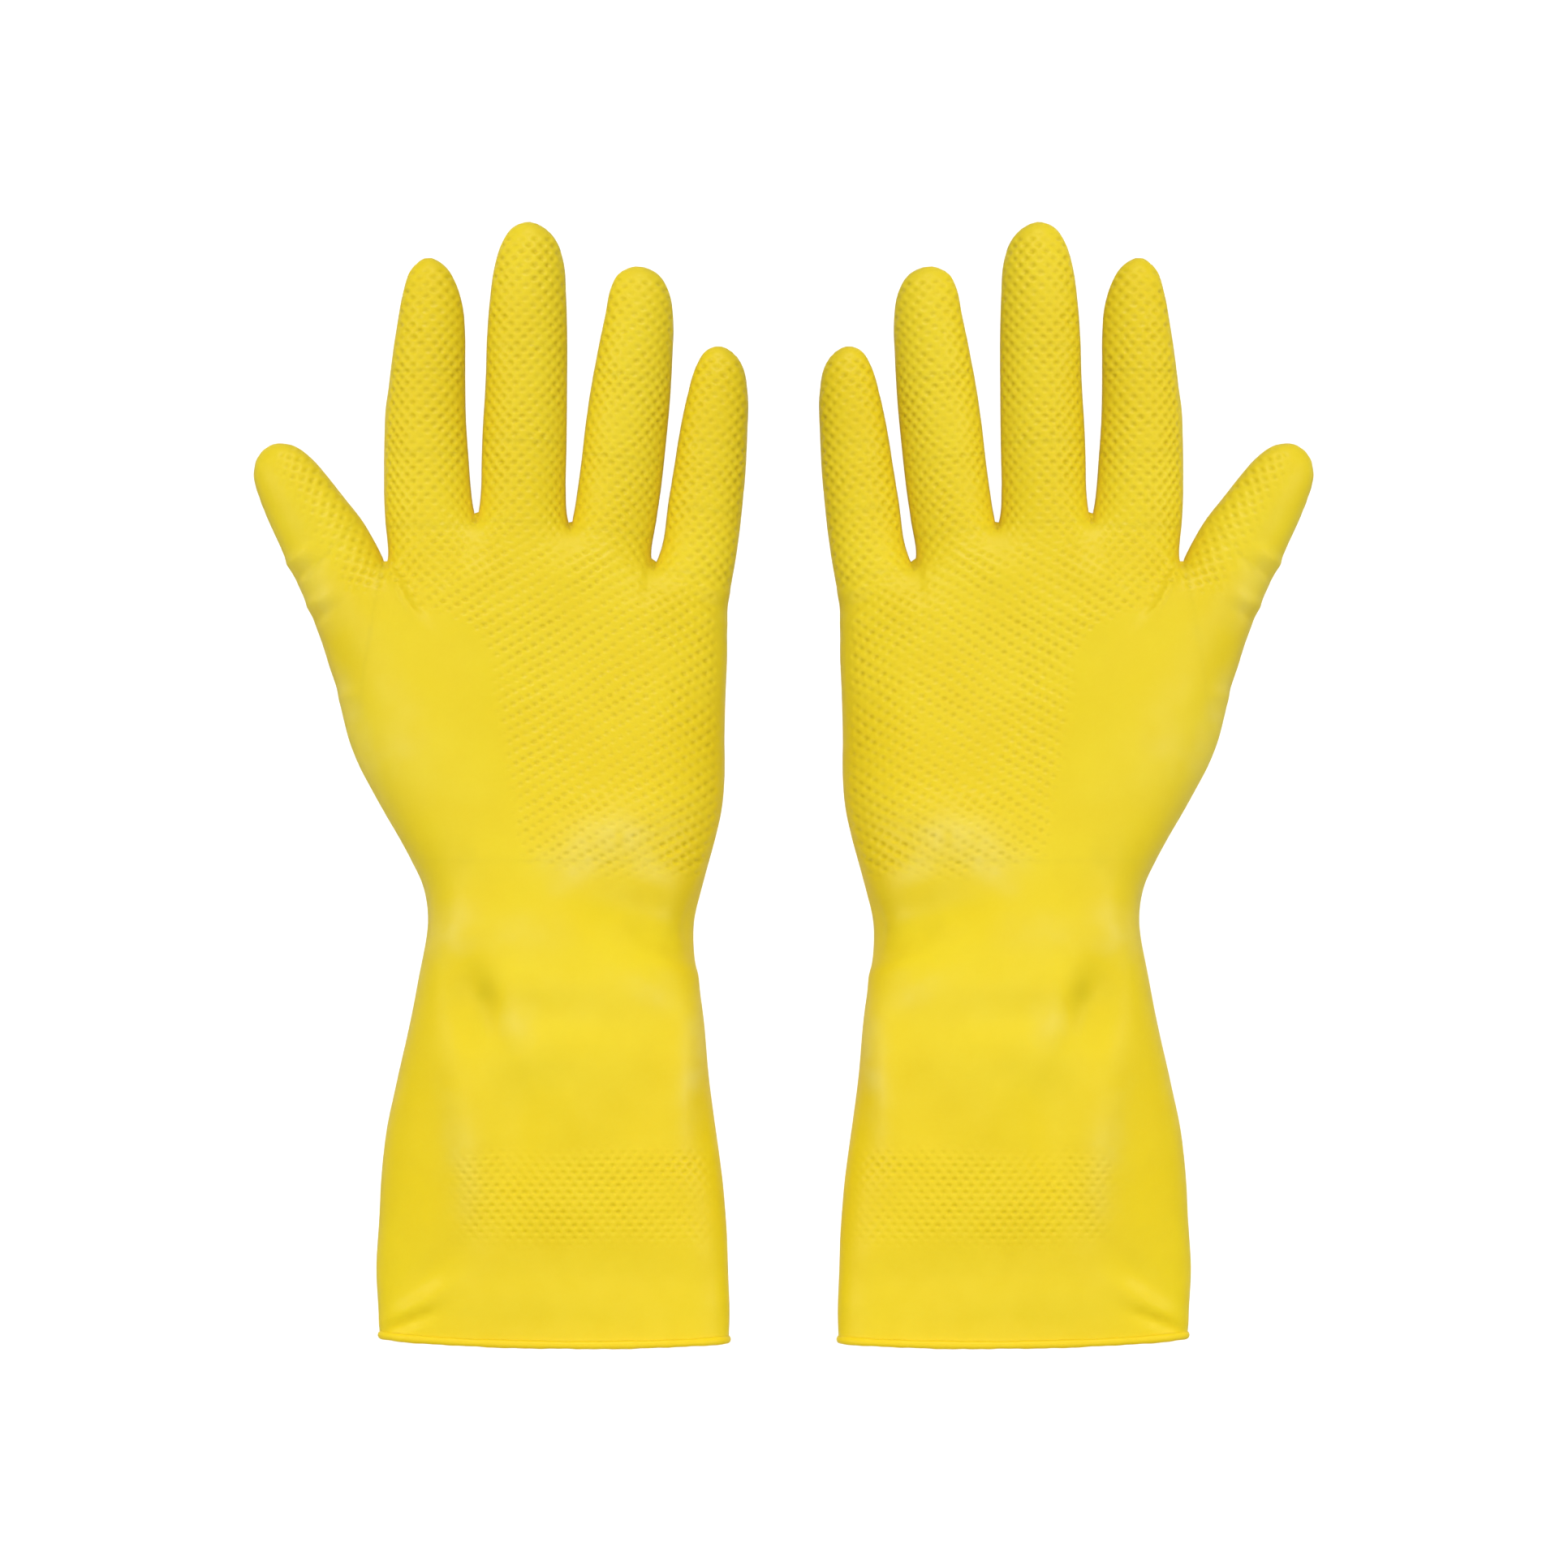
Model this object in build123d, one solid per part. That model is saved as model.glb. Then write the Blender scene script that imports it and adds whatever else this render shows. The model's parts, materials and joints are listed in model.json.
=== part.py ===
from build123d import *
import math
import os

# A pair of household rubber gloves, palms up, lying on a flat surface.
# Millimetres. +X to the wearer's right when the fingers point to +Y, +Y towards the fingertips, +Z up.
# Origin: on the supporting surface, at the centre of the pair's footprint.
# Each glove is one dipped latex skin with a rolled rim and a flocked lining. The skin is divided
# where it flexes (wrist, thumb crease, knuckles), so that each zone is a closed solid of its own.
# The left glove is dimensioned; the right glove takes the same numbers with X reversed (side = -1).

# ---------------------------------------------------------------- driving sizes
LENGTH = 305.0            # rim to middle fingertip
WALL = 0.55               # latex
LINING = 0.30             # cotton flock
BOND = 0.12               # free space between skin and lining
SLOT = 0.40               # free space at a flex line, along the finger
BEAD_R = 1.10             # rolled rim, section radius

FLEX_KNUCKLE = 72.0       # degrees, finger root
FLEX_MIDDLE = 82.0        # degrees, middle joint
FLEX_TIP = 50.0           # degrees, end joint
FLEX_THUMB_BASE = 42.0
FLEX_THUMB_TIP = 60.0
WRIST_UP = 45.0           # gauntlet towards the palm side
WRIST_DOWN = 35.0         # gauntlet towards the back of the hand

# Hand and gauntlet: (left x, left y, right x, right y, half thickness, centre height, oval exponent)
CORE = [
    (-110.0, -150.9, -14.9, -150.9, 8.6, 9.6, 2.6),
    (-110.4, -133.2, -15.1, -133.2, 10.2, 9.9, 2.5),
    (-109.6, -113.4, -16.0, -113.4, 12.4, 11.8, 2.4),
    (-107.8, -93.6, -18.4, -93.6, 14.4, 13.6, 2.3),
    (-103.4, -73.8, -21.0, -73.8, 16.0, 15.2, 2.2),
    (-99.2, -54.0, -23.4, -54.0, 17.0, 16.2, 2.15),
    (-96.4, -39.0, -24.0, -39.0, 16.9, 16.1, 2.15),
    (-97.6, -20.9, -19.9, -20.9, 16.2, 15.2, 2.25),
    (-100.7, 1.1, -16.4, 1.1, 15.5, 14.4, 2.4),
    (-103.6, 23.1, -15.9, 23.1, 14.4, 13.3, 2.4),
    (-106.4, 45.1, -15.3, 43.4, 12.4, 11.6, 2.4),
    (-107.8, 60.6, -12.9, 53.5, 9.6, 9.4, 2.3),
    (-107.2, 67.6, -13.6, 56.9, 6.4, 8.3, 2.2),
    (-106.0, 70.0, -15.2, 58.2, 2.4, 8.0, 2.0),
]

# Fingers: root point (inside the hand) and tip point on the centre line; knuckle, middle and end joint distances
# from the root point; half width and half thickness where the round end starts and where the finger leaves the hand.
# ROUND_END is (distance back from the tip, share of the full section).
ROUND_END = [(0.0, 0.20), (0.9, 0.38), (2.7, 0.615), (5.6, 0.815), (9.8, 0.945), (15.8, 1.0)]
FINGER_Z = 8.0
PIVOT_RISE = 1.8          # flex axes lie this far above the finger's centre line
FINGERS = {
    "index": dict(root=(-96.2, 46.0), tip=(-96.6, 142.6), joints=(32.0, 56.0, 76.2),
                  ends=(9.9, 7.0), base=(11.9, 7.8)),
    "middle": dict(root=(-71.9, 46.0), tip=(-69.3, LENGTH / 2), joints=(33.0, 61.0, 84.0),
                   ends=(10.2, 7.1), base=(11.9, 7.9)),
    "ring": dict(root=(-49.1, 42.1), tip=(-39.0, 140.2), joints=(34.3, 59.0, 79.2),
                 ends=(9.7, 6.9), base=(11.7, 7.8)),
    "little": dict(root=(-26.9, 31.1), tip=(-17.4, 118.8), joints=(34.0, 53.4, 70.2),
                   ends=(8.6, 6.4), base=(10.8, 7.5)),
}
BURIED = (6.0, 4.0)       # half width and half thickness of a finger's buried root
BASE_AT = 17.0            # a finger has its full section from here on

# Thumb: centre line through THUMB_O along THUMB_D; (distance, half width, half thickness, centre height)
THUMB_O = (-119.5, 55.9)
THUMB_ANGLE = 29.5        # degrees from +Y towards -X
THUMB = [
    (-88.0, 19.5, 9.5, 12.6),
    (-70.0, 21.3, 12.0, 12.7),
    (-55.0, 21.0, 13.0, 12.8),
    (-40.0, 20.2, 12.7, 12.5),
    (-20.0, 15.3, 10.8, 11.0),
    (0.0, 12.5, 8.7, 9.2),
    (12.0, 11.5, 7.9, 8.4),
    (24.0, 10.7, 7.3, 8.0),
    (32.0, 9.3, 6.4, 8.0),
    (36.6, 7.3, 5.2, 8.0),
    (39.4, 4.6, 3.4, 8.0),
    (40.6, 2.2, 1.7, 8.0),
]
THUMB_JOINT = 13.0        # end joint of the thumb, distance from THUMB_O
CREASE_A = (-108.2, 58.4)  # thumb crease, upper end
CREASE_B = (-98.8, -26.4)  # thumb crease, lower end
CREASE_Z = 13.0
WRIST_Y = -39.6
WRIST_Z = 16.0

THUMB_D = (-math.sin(math.radians(THUMB_ANGLE)), math.cos(math.radians(THUMB_ANGLE)))
CREASE_LEN = math.hypot(CREASE_A[0] - CREASE_B[0], CREASE_A[1] - CREASE_B[1])
CREASE_U = ((CREASE_A[0] - CREASE_B[0]) / CREASE_LEN, (CREASE_A[1] - CREASE_B[1]) / CREASE_LEN)
ACROSS = (-CREASE_U[1], CREASE_U[0])   # from the crease towards the thumb


def flip(p, side):
    return (p[0] * side, p[1])


def oval_curve(a, b, n):
    """Closed oval of half axes a and b; n = 2 is an ellipse, larger is squarer."""
    pts = []
    for k in range(16):
        t = 2 * math.pi * (k + 0.5) / 16
        c, s = math.cos(t), math.sin(t)
        pts.append((a * math.copysign(abs(c) ** (2 / n), c), b * math.copysign(abs(s) ** (2 / n), s)))
    return Edge.make_spline([Vector(*p) for p in pts], periodic=True, parameters=[k / 16 for k in range(17)])


def oval(a, b, n):
    return Ellipse(a, b) if n == 2.0 else make_face(oval_curve(a, b, n))


def floor_cut(solid, height):
    """Keeps what is above the plane z = height: the face that lies on the table, or its inside."""
    return solid - Pos(0, 0, height - 50) * Box(400, 400, 100)


def core(off, side):
    """Hand and gauntlet in one sweep of ovals, inset by off."""
    sections = []
    for i, (xl, yl, xr, yr, ht, zc, n) in enumerate(CORE):
        if side < 0:
            xl, yl, xr, yr = -xr, yr, -xl, yl
        half = math.hypot(xr - xl, yr - yl) / 2
        ux, uy = (xr - xl) / (2 * half), (yr - yl) / (2 * half)
        back = off if i == len(CORE) - 1 else 0.0
        plane = Plane(origin=((xl + xr) / 2 + uy * back, (yl + yr) / 2 - ux * back, zc),
                      x_dir=(ux, uy, 0), z_dir=(-uy, ux, 0))
        sections.append(plane * oval(half - off, max(ht - off, 0.9), n))
    return loft(sections)


def same_plane(f, g):
    if f.geom_type != GeomType.PLANE or g.geom_type != GeomType.PLANE:
        return False
    n, m = f.normal_at(), g.normal_at()
    return abs(abs(n.dot(m)) - 1) < 1e-6 and abs((f.center() - g.center()).dot(n)) < 1e-3


def hollow(outer, inner):
    """Closed skin between two solids that are trimmed by the same end planes."""
    skin, spent = [], []
    inside = list(inner.faces())
    for f in outer.faces():
        ends = [k for k, g in enumerate(inside) if same_plane(f, g)]
        if ends:
            ring = f
            for k in ends:
                ring = ring - inside[k]
            skin += list(ring.faces())
            spent += ends
        else:
            skin.append(f)
    skin += [g for k, g in enumerate(inside) if k not in spent]
    return Solid(Shell(skin))


def finger_frame(name, side):
    f = FINGERS[name]
    root, tip = flip(f["root"], side), flip(f["tip"], side)
    dx, dy = tip[0] - root[0], tip[1] - root[1]
    length = math.hypot(dx, dy)
    return f, root, (dx / length, dy / length), length


def finger(name, off, side):
    """Tapering finger with a round end and a narrow root that is buried in the hand."""
    f, root, (dx, dy), length = finger_frame(name, side)
    a1, b1 = f["ends"]
    a0, b0 = f["base"]
    rows = [(length - off - back, a1 * w, b1 * w) for back, w in ROUND_END]
    straight = length - ROUND_END[-1][0] - BASE_AT
    for k in (0.75, 0.5, 0.25, 0.0):
        rows.append((BASE_AT + straight * k, a0 + (a1 - a0) * k, b0 + (b1 - b0) * k))
    rows.append((off, *BURIED))
    sections = []
    for s, a, b in reversed(rows):
        plane = Plane(origin=(root[0] + dx * s, root[1] + dy * s, FINGER_Z), x_dir=(dy, -dx, 0), z_dir=(dx, dy, 0))
        sections.append(plane * Ellipse(max(a - off, 0.8), max(b - off, 0.6)))
    return loft(sections, ruled=True)


def thumb(off, side):
    """Thumb with its ball, from the heel of the hand to the round end."""
    o, (dx, dy) = flip(THUMB_O, side), flip(THUMB_D, side)
    sections = []
    for s, a, b, zc in THUMB:
        s = s - off if s > 30 else s + off if s < -80 else s
        plane = Plane(origin=(o[0] + dx * s, o[1] + dy * s, zc), x_dir=(dy, -dx, 0), z_dir=(dx, dy, 0))
        sections.append(plane * Ellipse(max(a - off, 0.8), max(b - off, 0.6)))
    return loft(sections, ruled=True)


def window(origin, direction, pivot_z, lo, hi, top, width=34.0, bottom=-4.0):
    """Prism between two flex lines. lo and hi are (distance, flex angle above the pivot[, flex angle below
    it]) or None for an open end. Each face leans back by half its flex angle, which leaves room to flex."""
    dx, dy = direction
    rise, drop = top - pivot_z, pivot_z - bottom
    pts = []
    if lo:
        s = lo[0] + SLOT / 2
        lean = lo[2] if len(lo) > 2 else 0.0
        pts += [(s + drop * math.tan(math.radians(lean / 2)), bottom), (s, pivot_z),
                (s + rise * math.tan(math.radians(lo[1] / 2)), top)]
    else:
        pts += [(-260.0, bottom), (-260.0, top)]
    if hi:
        s = hi[0] - SLOT / 2
        lean = hi[2] if len(hi) > 2 else 0.0
        pts += [(s - rise * math.tan(math.radians(hi[1] / 2)), top), (s, pivot_z),
                (s - drop * math.tan(math.radians(lean / 2)), bottom)]
    else:
        pts += [(260.0, top), (260.0, bottom)]
    plane = Plane(origin=(origin[0], origin[1], 0), x_dir=(dx, dy, 0), z_dir=(dy, -dx, 0))
    return extrude(plane * make_face(Polyline(*pts, close=True)), amount=width, both=True)


IN1, IN2, IN3 = WALL, WALL + BOND, WALL + BOND + LINING
PIVOT_Z = FINGER_Z + PIVOT_RISE


def glove(side):
    """All zones of one glove: side = 1 left, -1 right."""
    parts = {}
    across, crease = flip(ACROSS, side), flip(CREASE_B, side)
    thumb_side = window(crease, across, CREASE_Z, (0.0, FLEX_THUMB_BASE), None, 34.0, width=200.0)
    palm_side = window(crease, across, CREASE_Z, None, (0.0, FLEX_THUMB_BASE), 34.0, width=200.0)
    wrist = flip((-60.0, WRIST_Y), side)
    wrist_hand = window(wrist, (0, 1), WRIST_Z, (0.0, WRIST_UP, WRIST_DOWN), None, 38.0, width=90.0)
    wrist_arm = window(wrist, (0, 1), WRIST_Z, None, (0.0, WRIST_UP, WRIST_DOWN), 38.0, width=90.0)
    cores = [core(off, side) for off in (0.0, IN1, IN2, IN3)]

    # Gauntlet, its lining and its rolled rim
    arm = [floor_cut(c & wrist_arm, off) for c, off in zip(cores, (0.0, IN1, IN2, IN3))]
    parts["gauntlet"] = hollow(arm[0], arm[1])
    mouth = Pos(0, CORE[0][1] - 50 + 7.0, 0) * Box(400, 100, 120)   # the lining stops short of the rim
    parts["gauntlet_lining"] = hollow(arm[2] - mouth, arm[3] - mouth)
    xl, _, xr, _, ht, zc, n = CORE[0]
    rim = Plane(origin=((xl + xr) / 2 * side, -LENGTH / 2 + BEAD_R, zc), x_dir=(1, 0, 0), z_dir=(0, 1, 0))
    path = rim * oval_curve((xr - xl) / 2 - WALL / 2, ht - WALL / 2, n)
    ring = sweep(Plane(origin=path @ 0, z_dir=path % 0) * Circle(BEAD_R), path=path)
    parts["cuff_bead"] = ring - Pos(0, CORE[0][1] + 5, 0) * Box(400, 10, 120)   # flat where it meets the skin

    # Hand with finger roots and its share of the thumb ball, and its lining
    hands = []
    for c, off in zip(cores, (0.0, IN1, IN2, IN3)):
        body = floor_cut(c & wrist_hand, off)
        for name in FINGERS:
            f, root, d, _ = finger_frame(name, side)
            body = body + (finger(name, off, side) & window(root, d, PIVOT_Z, None,
                                                            (f["joints"][0], FLEX_KNUCKLE), 20.0))
        hands.append((body + thumb(off, side)) & palm_side)
    parts["palm"] = hollow(hands[0], hands[1])
    parts["palm_lining"] = hollow(hands[2], hands[3])

    # Thumb
    outer, inner = thumb(0.0, side), thumb(IN1, side)
    o, d = flip(THUMB_O, side), flip(THUMB_D, side)
    low = window(o, d, PIVOT_Z, None, (THUMB_JOINT, FLEX_THUMB_TIP), 30.0, width=60.0)
    high = window(o, d, PIVOT_Z, (THUMB_JOINT, FLEX_THUMB_TIP), None, 30.0, width=60.0)
    parts["thumb_base"] = hollow(outer & thumb_side & low, inner & thumb_side & low)
    parts["thumb_tip"] = hollow(outer & high, inner & high)

    # Fingers
    for name in FINGERS:
        f, root, d, _ = finger_frame(name, side)
        j1, j2, j3 = f["joints"]
        outer, inner = finger(name, 0.0, side), finger(name, IN1, side)
        spans = {
            "proximal": ((j1, FLEX_KNUCKLE), (j2, FLEX_MIDDLE)),
            "middle": ((j2, FLEX_MIDDLE), (j3, FLEX_TIP)),
            "tip": ((j3, FLEX_TIP), None),
        }
        for zone, (lo, hi) in spans.items():
            cut = window(root, d, PIVOT_Z, lo, hi, 16.4)
            parts[f"{name}_{zone}"] = hollow(outer & cut, inner & cut)
    return parts


os.makedirs("parts", exist_ok=True)
for label, side in (("left", 1), ("right", -1)):
    for node, shape in glove(side).items():
        solids = shape.solids()
        export_step(solids[0] if len(solids) == 1 else Compound(children=list(solids)), f"parts/{label}_{node}.step")
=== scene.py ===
import json
import math
import bpy
import numpy as np
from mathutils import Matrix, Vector

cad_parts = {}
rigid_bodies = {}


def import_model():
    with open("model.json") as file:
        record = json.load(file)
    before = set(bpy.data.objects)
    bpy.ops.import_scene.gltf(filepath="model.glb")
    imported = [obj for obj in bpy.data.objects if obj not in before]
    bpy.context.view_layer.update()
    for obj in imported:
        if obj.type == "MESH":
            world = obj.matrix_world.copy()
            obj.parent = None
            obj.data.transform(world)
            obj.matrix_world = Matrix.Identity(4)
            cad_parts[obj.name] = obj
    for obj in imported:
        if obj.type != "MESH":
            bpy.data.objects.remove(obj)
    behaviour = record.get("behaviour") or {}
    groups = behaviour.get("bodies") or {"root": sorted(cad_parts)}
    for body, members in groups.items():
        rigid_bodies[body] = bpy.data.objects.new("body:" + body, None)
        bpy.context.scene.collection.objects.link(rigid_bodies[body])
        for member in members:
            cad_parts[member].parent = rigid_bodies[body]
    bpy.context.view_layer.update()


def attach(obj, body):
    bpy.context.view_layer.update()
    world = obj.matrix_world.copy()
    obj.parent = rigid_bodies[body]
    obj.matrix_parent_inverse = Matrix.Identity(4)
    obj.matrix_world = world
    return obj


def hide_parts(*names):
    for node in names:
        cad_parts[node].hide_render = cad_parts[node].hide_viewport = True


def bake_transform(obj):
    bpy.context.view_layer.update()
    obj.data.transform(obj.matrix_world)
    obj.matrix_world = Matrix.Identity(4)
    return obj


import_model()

# A pair of rubber gloves, palms up. One glove surface is grown in code from its plan outline (an inflated
# skin that is flattened where it lies on the table), given its moulded grip, folds and hollows as real
# displacement, then cut into pieces across the wrist, the thumb and each finger.
# Everything below is worked out in millimetres for the left glove; the right glove is its mirror image.

MM = 0.001
COARSE = 1.2            # mesh size of smooth skin; the grip is three times finer
CELL = 0.75             # plan grid for the inflation
WALL = 0.55
BOND, LINING = 0.12, 0.30

# ------------------------------------------------------------------ plan outline (control points)
OUTLINE = [
    (-109.6, -178.0), (-109.6, -165.0), (-109.6, -152.0), (-109.7, -147.5), (-110.1, -140.5), (-110.5, -131.0), (-109.7, -118.0),
    (-109.1, -106.6), (-107.6, -93.5), (-104.8, -80.5), (-101.7, -67.2), (-99.0, -53.9), (-96.5, -40.6),
    (-96.4, -34.2), (-97.7, -27.5), (-100.6, -20.9), (-103.9, -14.3), (-107.6, -7.7), (-111.2, -1.1),
    (-114.9, 5.5), (-117.7, 12.1), (-119.5, 18.7), (-121.0, 25.3), (-123.3, 31.9), (-125.4, 38.5),
    (-128.0, 45.2), (-130.8, 51.8), (-134.0, 58.4), (-136.9, 65.0), (-140.0, 71.6), (-142.6, 78.2),
    (-143.9, 83.0), (-143.4, 87.6), (-141.0, 91.0), (-137.2, 92.6), (-132.6, 91.7), (-128.0, 88.3), (-124.2, 84.0),
    (-119.6, 78.2), (-114.4, 71.6), (-111.3, 66.4), (-109.1, 62.2), (-107.9, 59.8),
    (-107.4, 61.6), (-107.6, 66.0), (-108.1, 70.4), (-108.5, 76.0), (-108.6, 85.0), (-108.5, 93.0), (-108.2, 101.3), (-107.3, 108.0),
    (-106.3, 116.0), (-104.9, 124.2), (-103.2, 133.0), (-101.0, 139.4), (-96.7, 142.7), (-92.2, 140.6),
    (-89.2, 136.0), (-87.2, 129.4), (-86.5, 121.0), (-86.4, 109.9), (-86.2, 98.0), (-85.5, 87.9),
    (-84.9, 80.0), (-84.2, 74.9), (-83.4, 71.6), (-82.6, 74.9), (-82.1, 80.0), (-81.9, 88.0),
    (-81.5, 99.0), (-80.9, 111.0), (-80.4, 122.0), (-79.7, 131.0), (-78.6, 139.5), (-76.6, 146.5),
    (-73.6, 151.0), (-69.3, 152.6), (-65.0, 151.0), (-61.6, 147.2), (-59.7, 141.0), (-59.1, 132.0),
    (-58.8, 120.0), (-58.8, 106.0), (-59.0, 92.0), (-59.2, 80.5), (-58.9, 73.4), (-57.9, 69.8),
    (-56.9, 73.4), (-56.0, 79.0), (-54.8, 88.0), (-53.7, 98.0), (-52.3, 108.0), (-50.3, 118.0),
    (-48.3, 127.0), (-46.7, 134.6), (-44.4, 138.6), (-39.6, 140.4), (-34.2, 138.3), (-31.2, 133.2),
    (-30.0, 125.0), (-30.2, 115.0), (-30.9, 103.0), (-32.0, 91.5), (-33.1, 81.5), (-34.6, 71.0),
    (-35.8, 64.0), (-35.8, 61.2), (-35.2, 59.3), (-34.2, 61.2), (-32.7, 66.0), (-31.4, 76.0),
    (-29.8, 86.0), (-28.2, 96.0), (-26.3, 105.0), (-24.0, 113.0), (-21.2, 117.6), (-17.6, 119.0),
    (-13.8, 117.2), (-11.0, 113.2), (-9.6, 105.0), (-9.8, 95.0), (-10.3, 85.0), (-11.2, 76.0),
    (-12.3, 66.0), (-13.8, 56.5), (-14.9, 50.0), (-15.3, 43.0), (-15.4, 34.0), (-15.8, 24.0),
    (-16.1, 12.0), (-16.2, 2.0), (-17.0, -6.5), (-18.6, -14.3), (-20.5, -22.0), (-22.6, -30.6),
    (-23.9, -37.0), (-24.1, -43.0), (-23.5, -52.0), (-21.9, -65.0), (-20.2, -80.4), (-18.4, -93.6),
    (-16.6, -107.0), (-15.5, -120.0), (-15.0, -133.2), (-14.7, -143.0), (-14.9, -151.0), (-14.9, -165.0), (-14.9, -178.0),
]
# half thickness and height of the middle surface along the glove (y, half thickness, middle height)
THICK = [(-180, 8.2, 9.6), (-150.9, 8.6, 9.6), (-133.2, 10.2, 9.9), (-113.4, 12.4, 11.8), (-93.6, 14.4, 13.6),
         (-73.8, 16.0, 15.2), (-54.0, 17.0, 16.2), (-39.0, 16.9, 16.1), (-20.9, 16.2, 15.2), (1.1, 15.0, 14.1),
         (23.1, 13.9, 13.0), (45.1, 12.2, 11.4), (60.0, 10.0, 9.6), (70.0, 8.6, 8.4), (80.0, 7.9, 8.0),
         (165.0, 7.5, 8.0)]
FINGERS = {   # root, tip, joint distances from the root
    "index": ((-96.2, 46.0), (-96.6, 142.6), (32.0, 56.0, 76.2)),
    "middle": ((-71.9, 46.0), (-69.3, 152.5), (33.0, 61.0, 84.0)),
    "ring": ((-49.1, 42.1), (-39.0, 140.2), (34.3, 59.0, 79.2)),
    "little": ((-26.9, 31.1), (-17.4, 118.8), (34.0, 53.4, 70.2)),
}
PIVOT_Z = 9.8
BEND = 7.0              # a finger bends over this far each side of its joint line
THUMB_O = np.array((-119.5, 55.9))
THUMB_A = math.radians(29.5)
THUMB_D = np.array((-math.sin(THUMB_A), math.cos(THUMB_A)))
THUMB_JOINT = 13.0
CREASE_A, CREASE_B = np.array((-108.2, 58.4)), np.array((-98.8, -26.4))
WRIST_Y, WRIST_Z = -39.6, 16.0


def rim_y(x):
    """Where the cuff ends, measured along the glove: it sags in the middle."""
    t = (x + 62.5) / 47.5
    return -151.6 + 1.6 * np.clip(t * t, 0, 1.4) + 0.6 * t * (-1.0)


# ------------------------------------------------------------------ small numpy helpers
def smooth(e0, e1, v):
    t = np.clip((v - e0) / (e1 - e0), 0.0, 1.0)
    return t * t * (3 - 2 * t)


def hashed(ix, iy, iz, seed):
    n = (ix * 374761393 + iy * 668265263 + iz * 2147483647 + seed * 974711) & 0x7FFFFFFF
    n = ((n ^ (n >> 13)) * 1274126177) & 0x7FFFFFFF
    return ((n ^ (n >> 16)) & 0xFFFF) / 65535.0 * 2 - 1


def noise2(x, y, size, seed):
    """Smooth value noise in the plane, -1 to 1."""
    x, y = x / size, y / size
    ix, iy = np.floor(x).astype(np.int64), np.floor(y).astype(np.int64)
    fx, fy = x - ix, y - iy
    fx, fy = fx * fx * fx * (fx * (fx * 6 - 15) + 10), fy * fy * fy * (fy * (fy * 6 - 15) + 10)
    z = np.zeros_like(ix)
    a, b = hashed(ix, iy, z, seed), hashed(ix + 1, iy, z, seed)
    c, d = hashed(ix, iy + 1, z, seed), hashed(ix + 1, iy + 1, z, seed)
    return (a * (1 - fx) + b * fx) * (1 - fy) + (c * (1 - fx) + d * fx) * fy


def closed_curve(points, step):
    """Centripetal Catmull-Rom through closed control points, resampled to about one step."""
    p = np.array(points, float)
    n = len(p)
    out = []
    for i in range(n):
        p0, p1, p2, p3 = p[(i - 1) % n], p[i], p[(i + 1) % n], p[(i + 2) % n]
        t0 = 0.0
        t1 = t0 + max(np.linalg.norm(p1 - p0), 1e-6) ** 0.5
        t2 = t1 + max(np.linalg.norm(p2 - p1), 1e-6) ** 0.5
        t3 = t2 + max(np.linalg.norm(p3 - p2), 1e-6) ** 0.5
        m = max(2, int(np.linalg.norm(p2 - p1) / step) + 1)
        t = (t1 + (t2 - t1) * np.arange(m) / m)[:, None]
        a1 = (t1 - t) / (t1 - t0) * p0 + (t - t0) / (t1 - t0) * p1
        a2 = (t2 - t) / (t2 - t1) * p1 + (t - t1) / (t2 - t1) * p2
        a3 = (t3 - t) / (t3 - t2) * p2 + (t - t2) / (t3 - t2) * p3
        b1 = (t2 - t) / (t2 - t0) * a1 + (t - t0) / (t2 - t0) * a2
        b2 = (t3 - t) / (t3 - t1) * a2 + (t - t1) / (t3 - t1) * a3
        out.append((t2 - t) / (t2 - t1) * b1 + (t - t1) / (t2 - t1) * b2)
    return np.concatenate(out)


def signed_distance(poly, xs, ys):
    """Distance to the closed polygon on the grid xs by ys, positive inside."""
    gx, gy = np.meshgrid(xs, ys, indexing="ij")
    pts = np.stack([gx.ravel(), gy.ravel()], 1)
    nxt = np.roll(poly, -1, 0)
    best = np.full(len(pts), 1e9)
    near = np.zeros(len(pts), int)
    coarse = poly[::3]
    for k in range(0, len(pts), 6000):
        q = pts[k:k + 6000]
        d2 = ((q[:, None, :] - coarse[None]) ** 2).sum(2)
        near[k:k + 6000] = d2.argmin(1) * 3
    for off in range(-4, 5):
        i = (near + off) % len(poly)
        a, b = poly[i], nxt[i]
        ab = b - a
        t = np.clip(((pts - a) * ab).sum(1) / np.maximum((ab * ab).sum(1), 1e-12), 0, 1)
        d = np.linalg.norm(pts - a - ab * t[:, None], axis=1)
        best = np.minimum(best, d)
    inside = np.zeros((len(xs), len(ys)), bool)
    for j, y in enumerate(ys):
        cross = (poly[:, 1] > y) != (nxt[:, 1] > y)
        a, b = poly[cross], nxt[cross]
        x = np.sort(a[:, 0] + (y - a[:, 1]) / (b[:, 1] - a[:, 1]) * (b[:, 0] - a[:, 0]))
        inside[:, j] = (np.searchsorted(x, xs) % 2) == 1
    return np.where(inside, 1.0, -1.0) * best.reshape(inside.shape)


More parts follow.
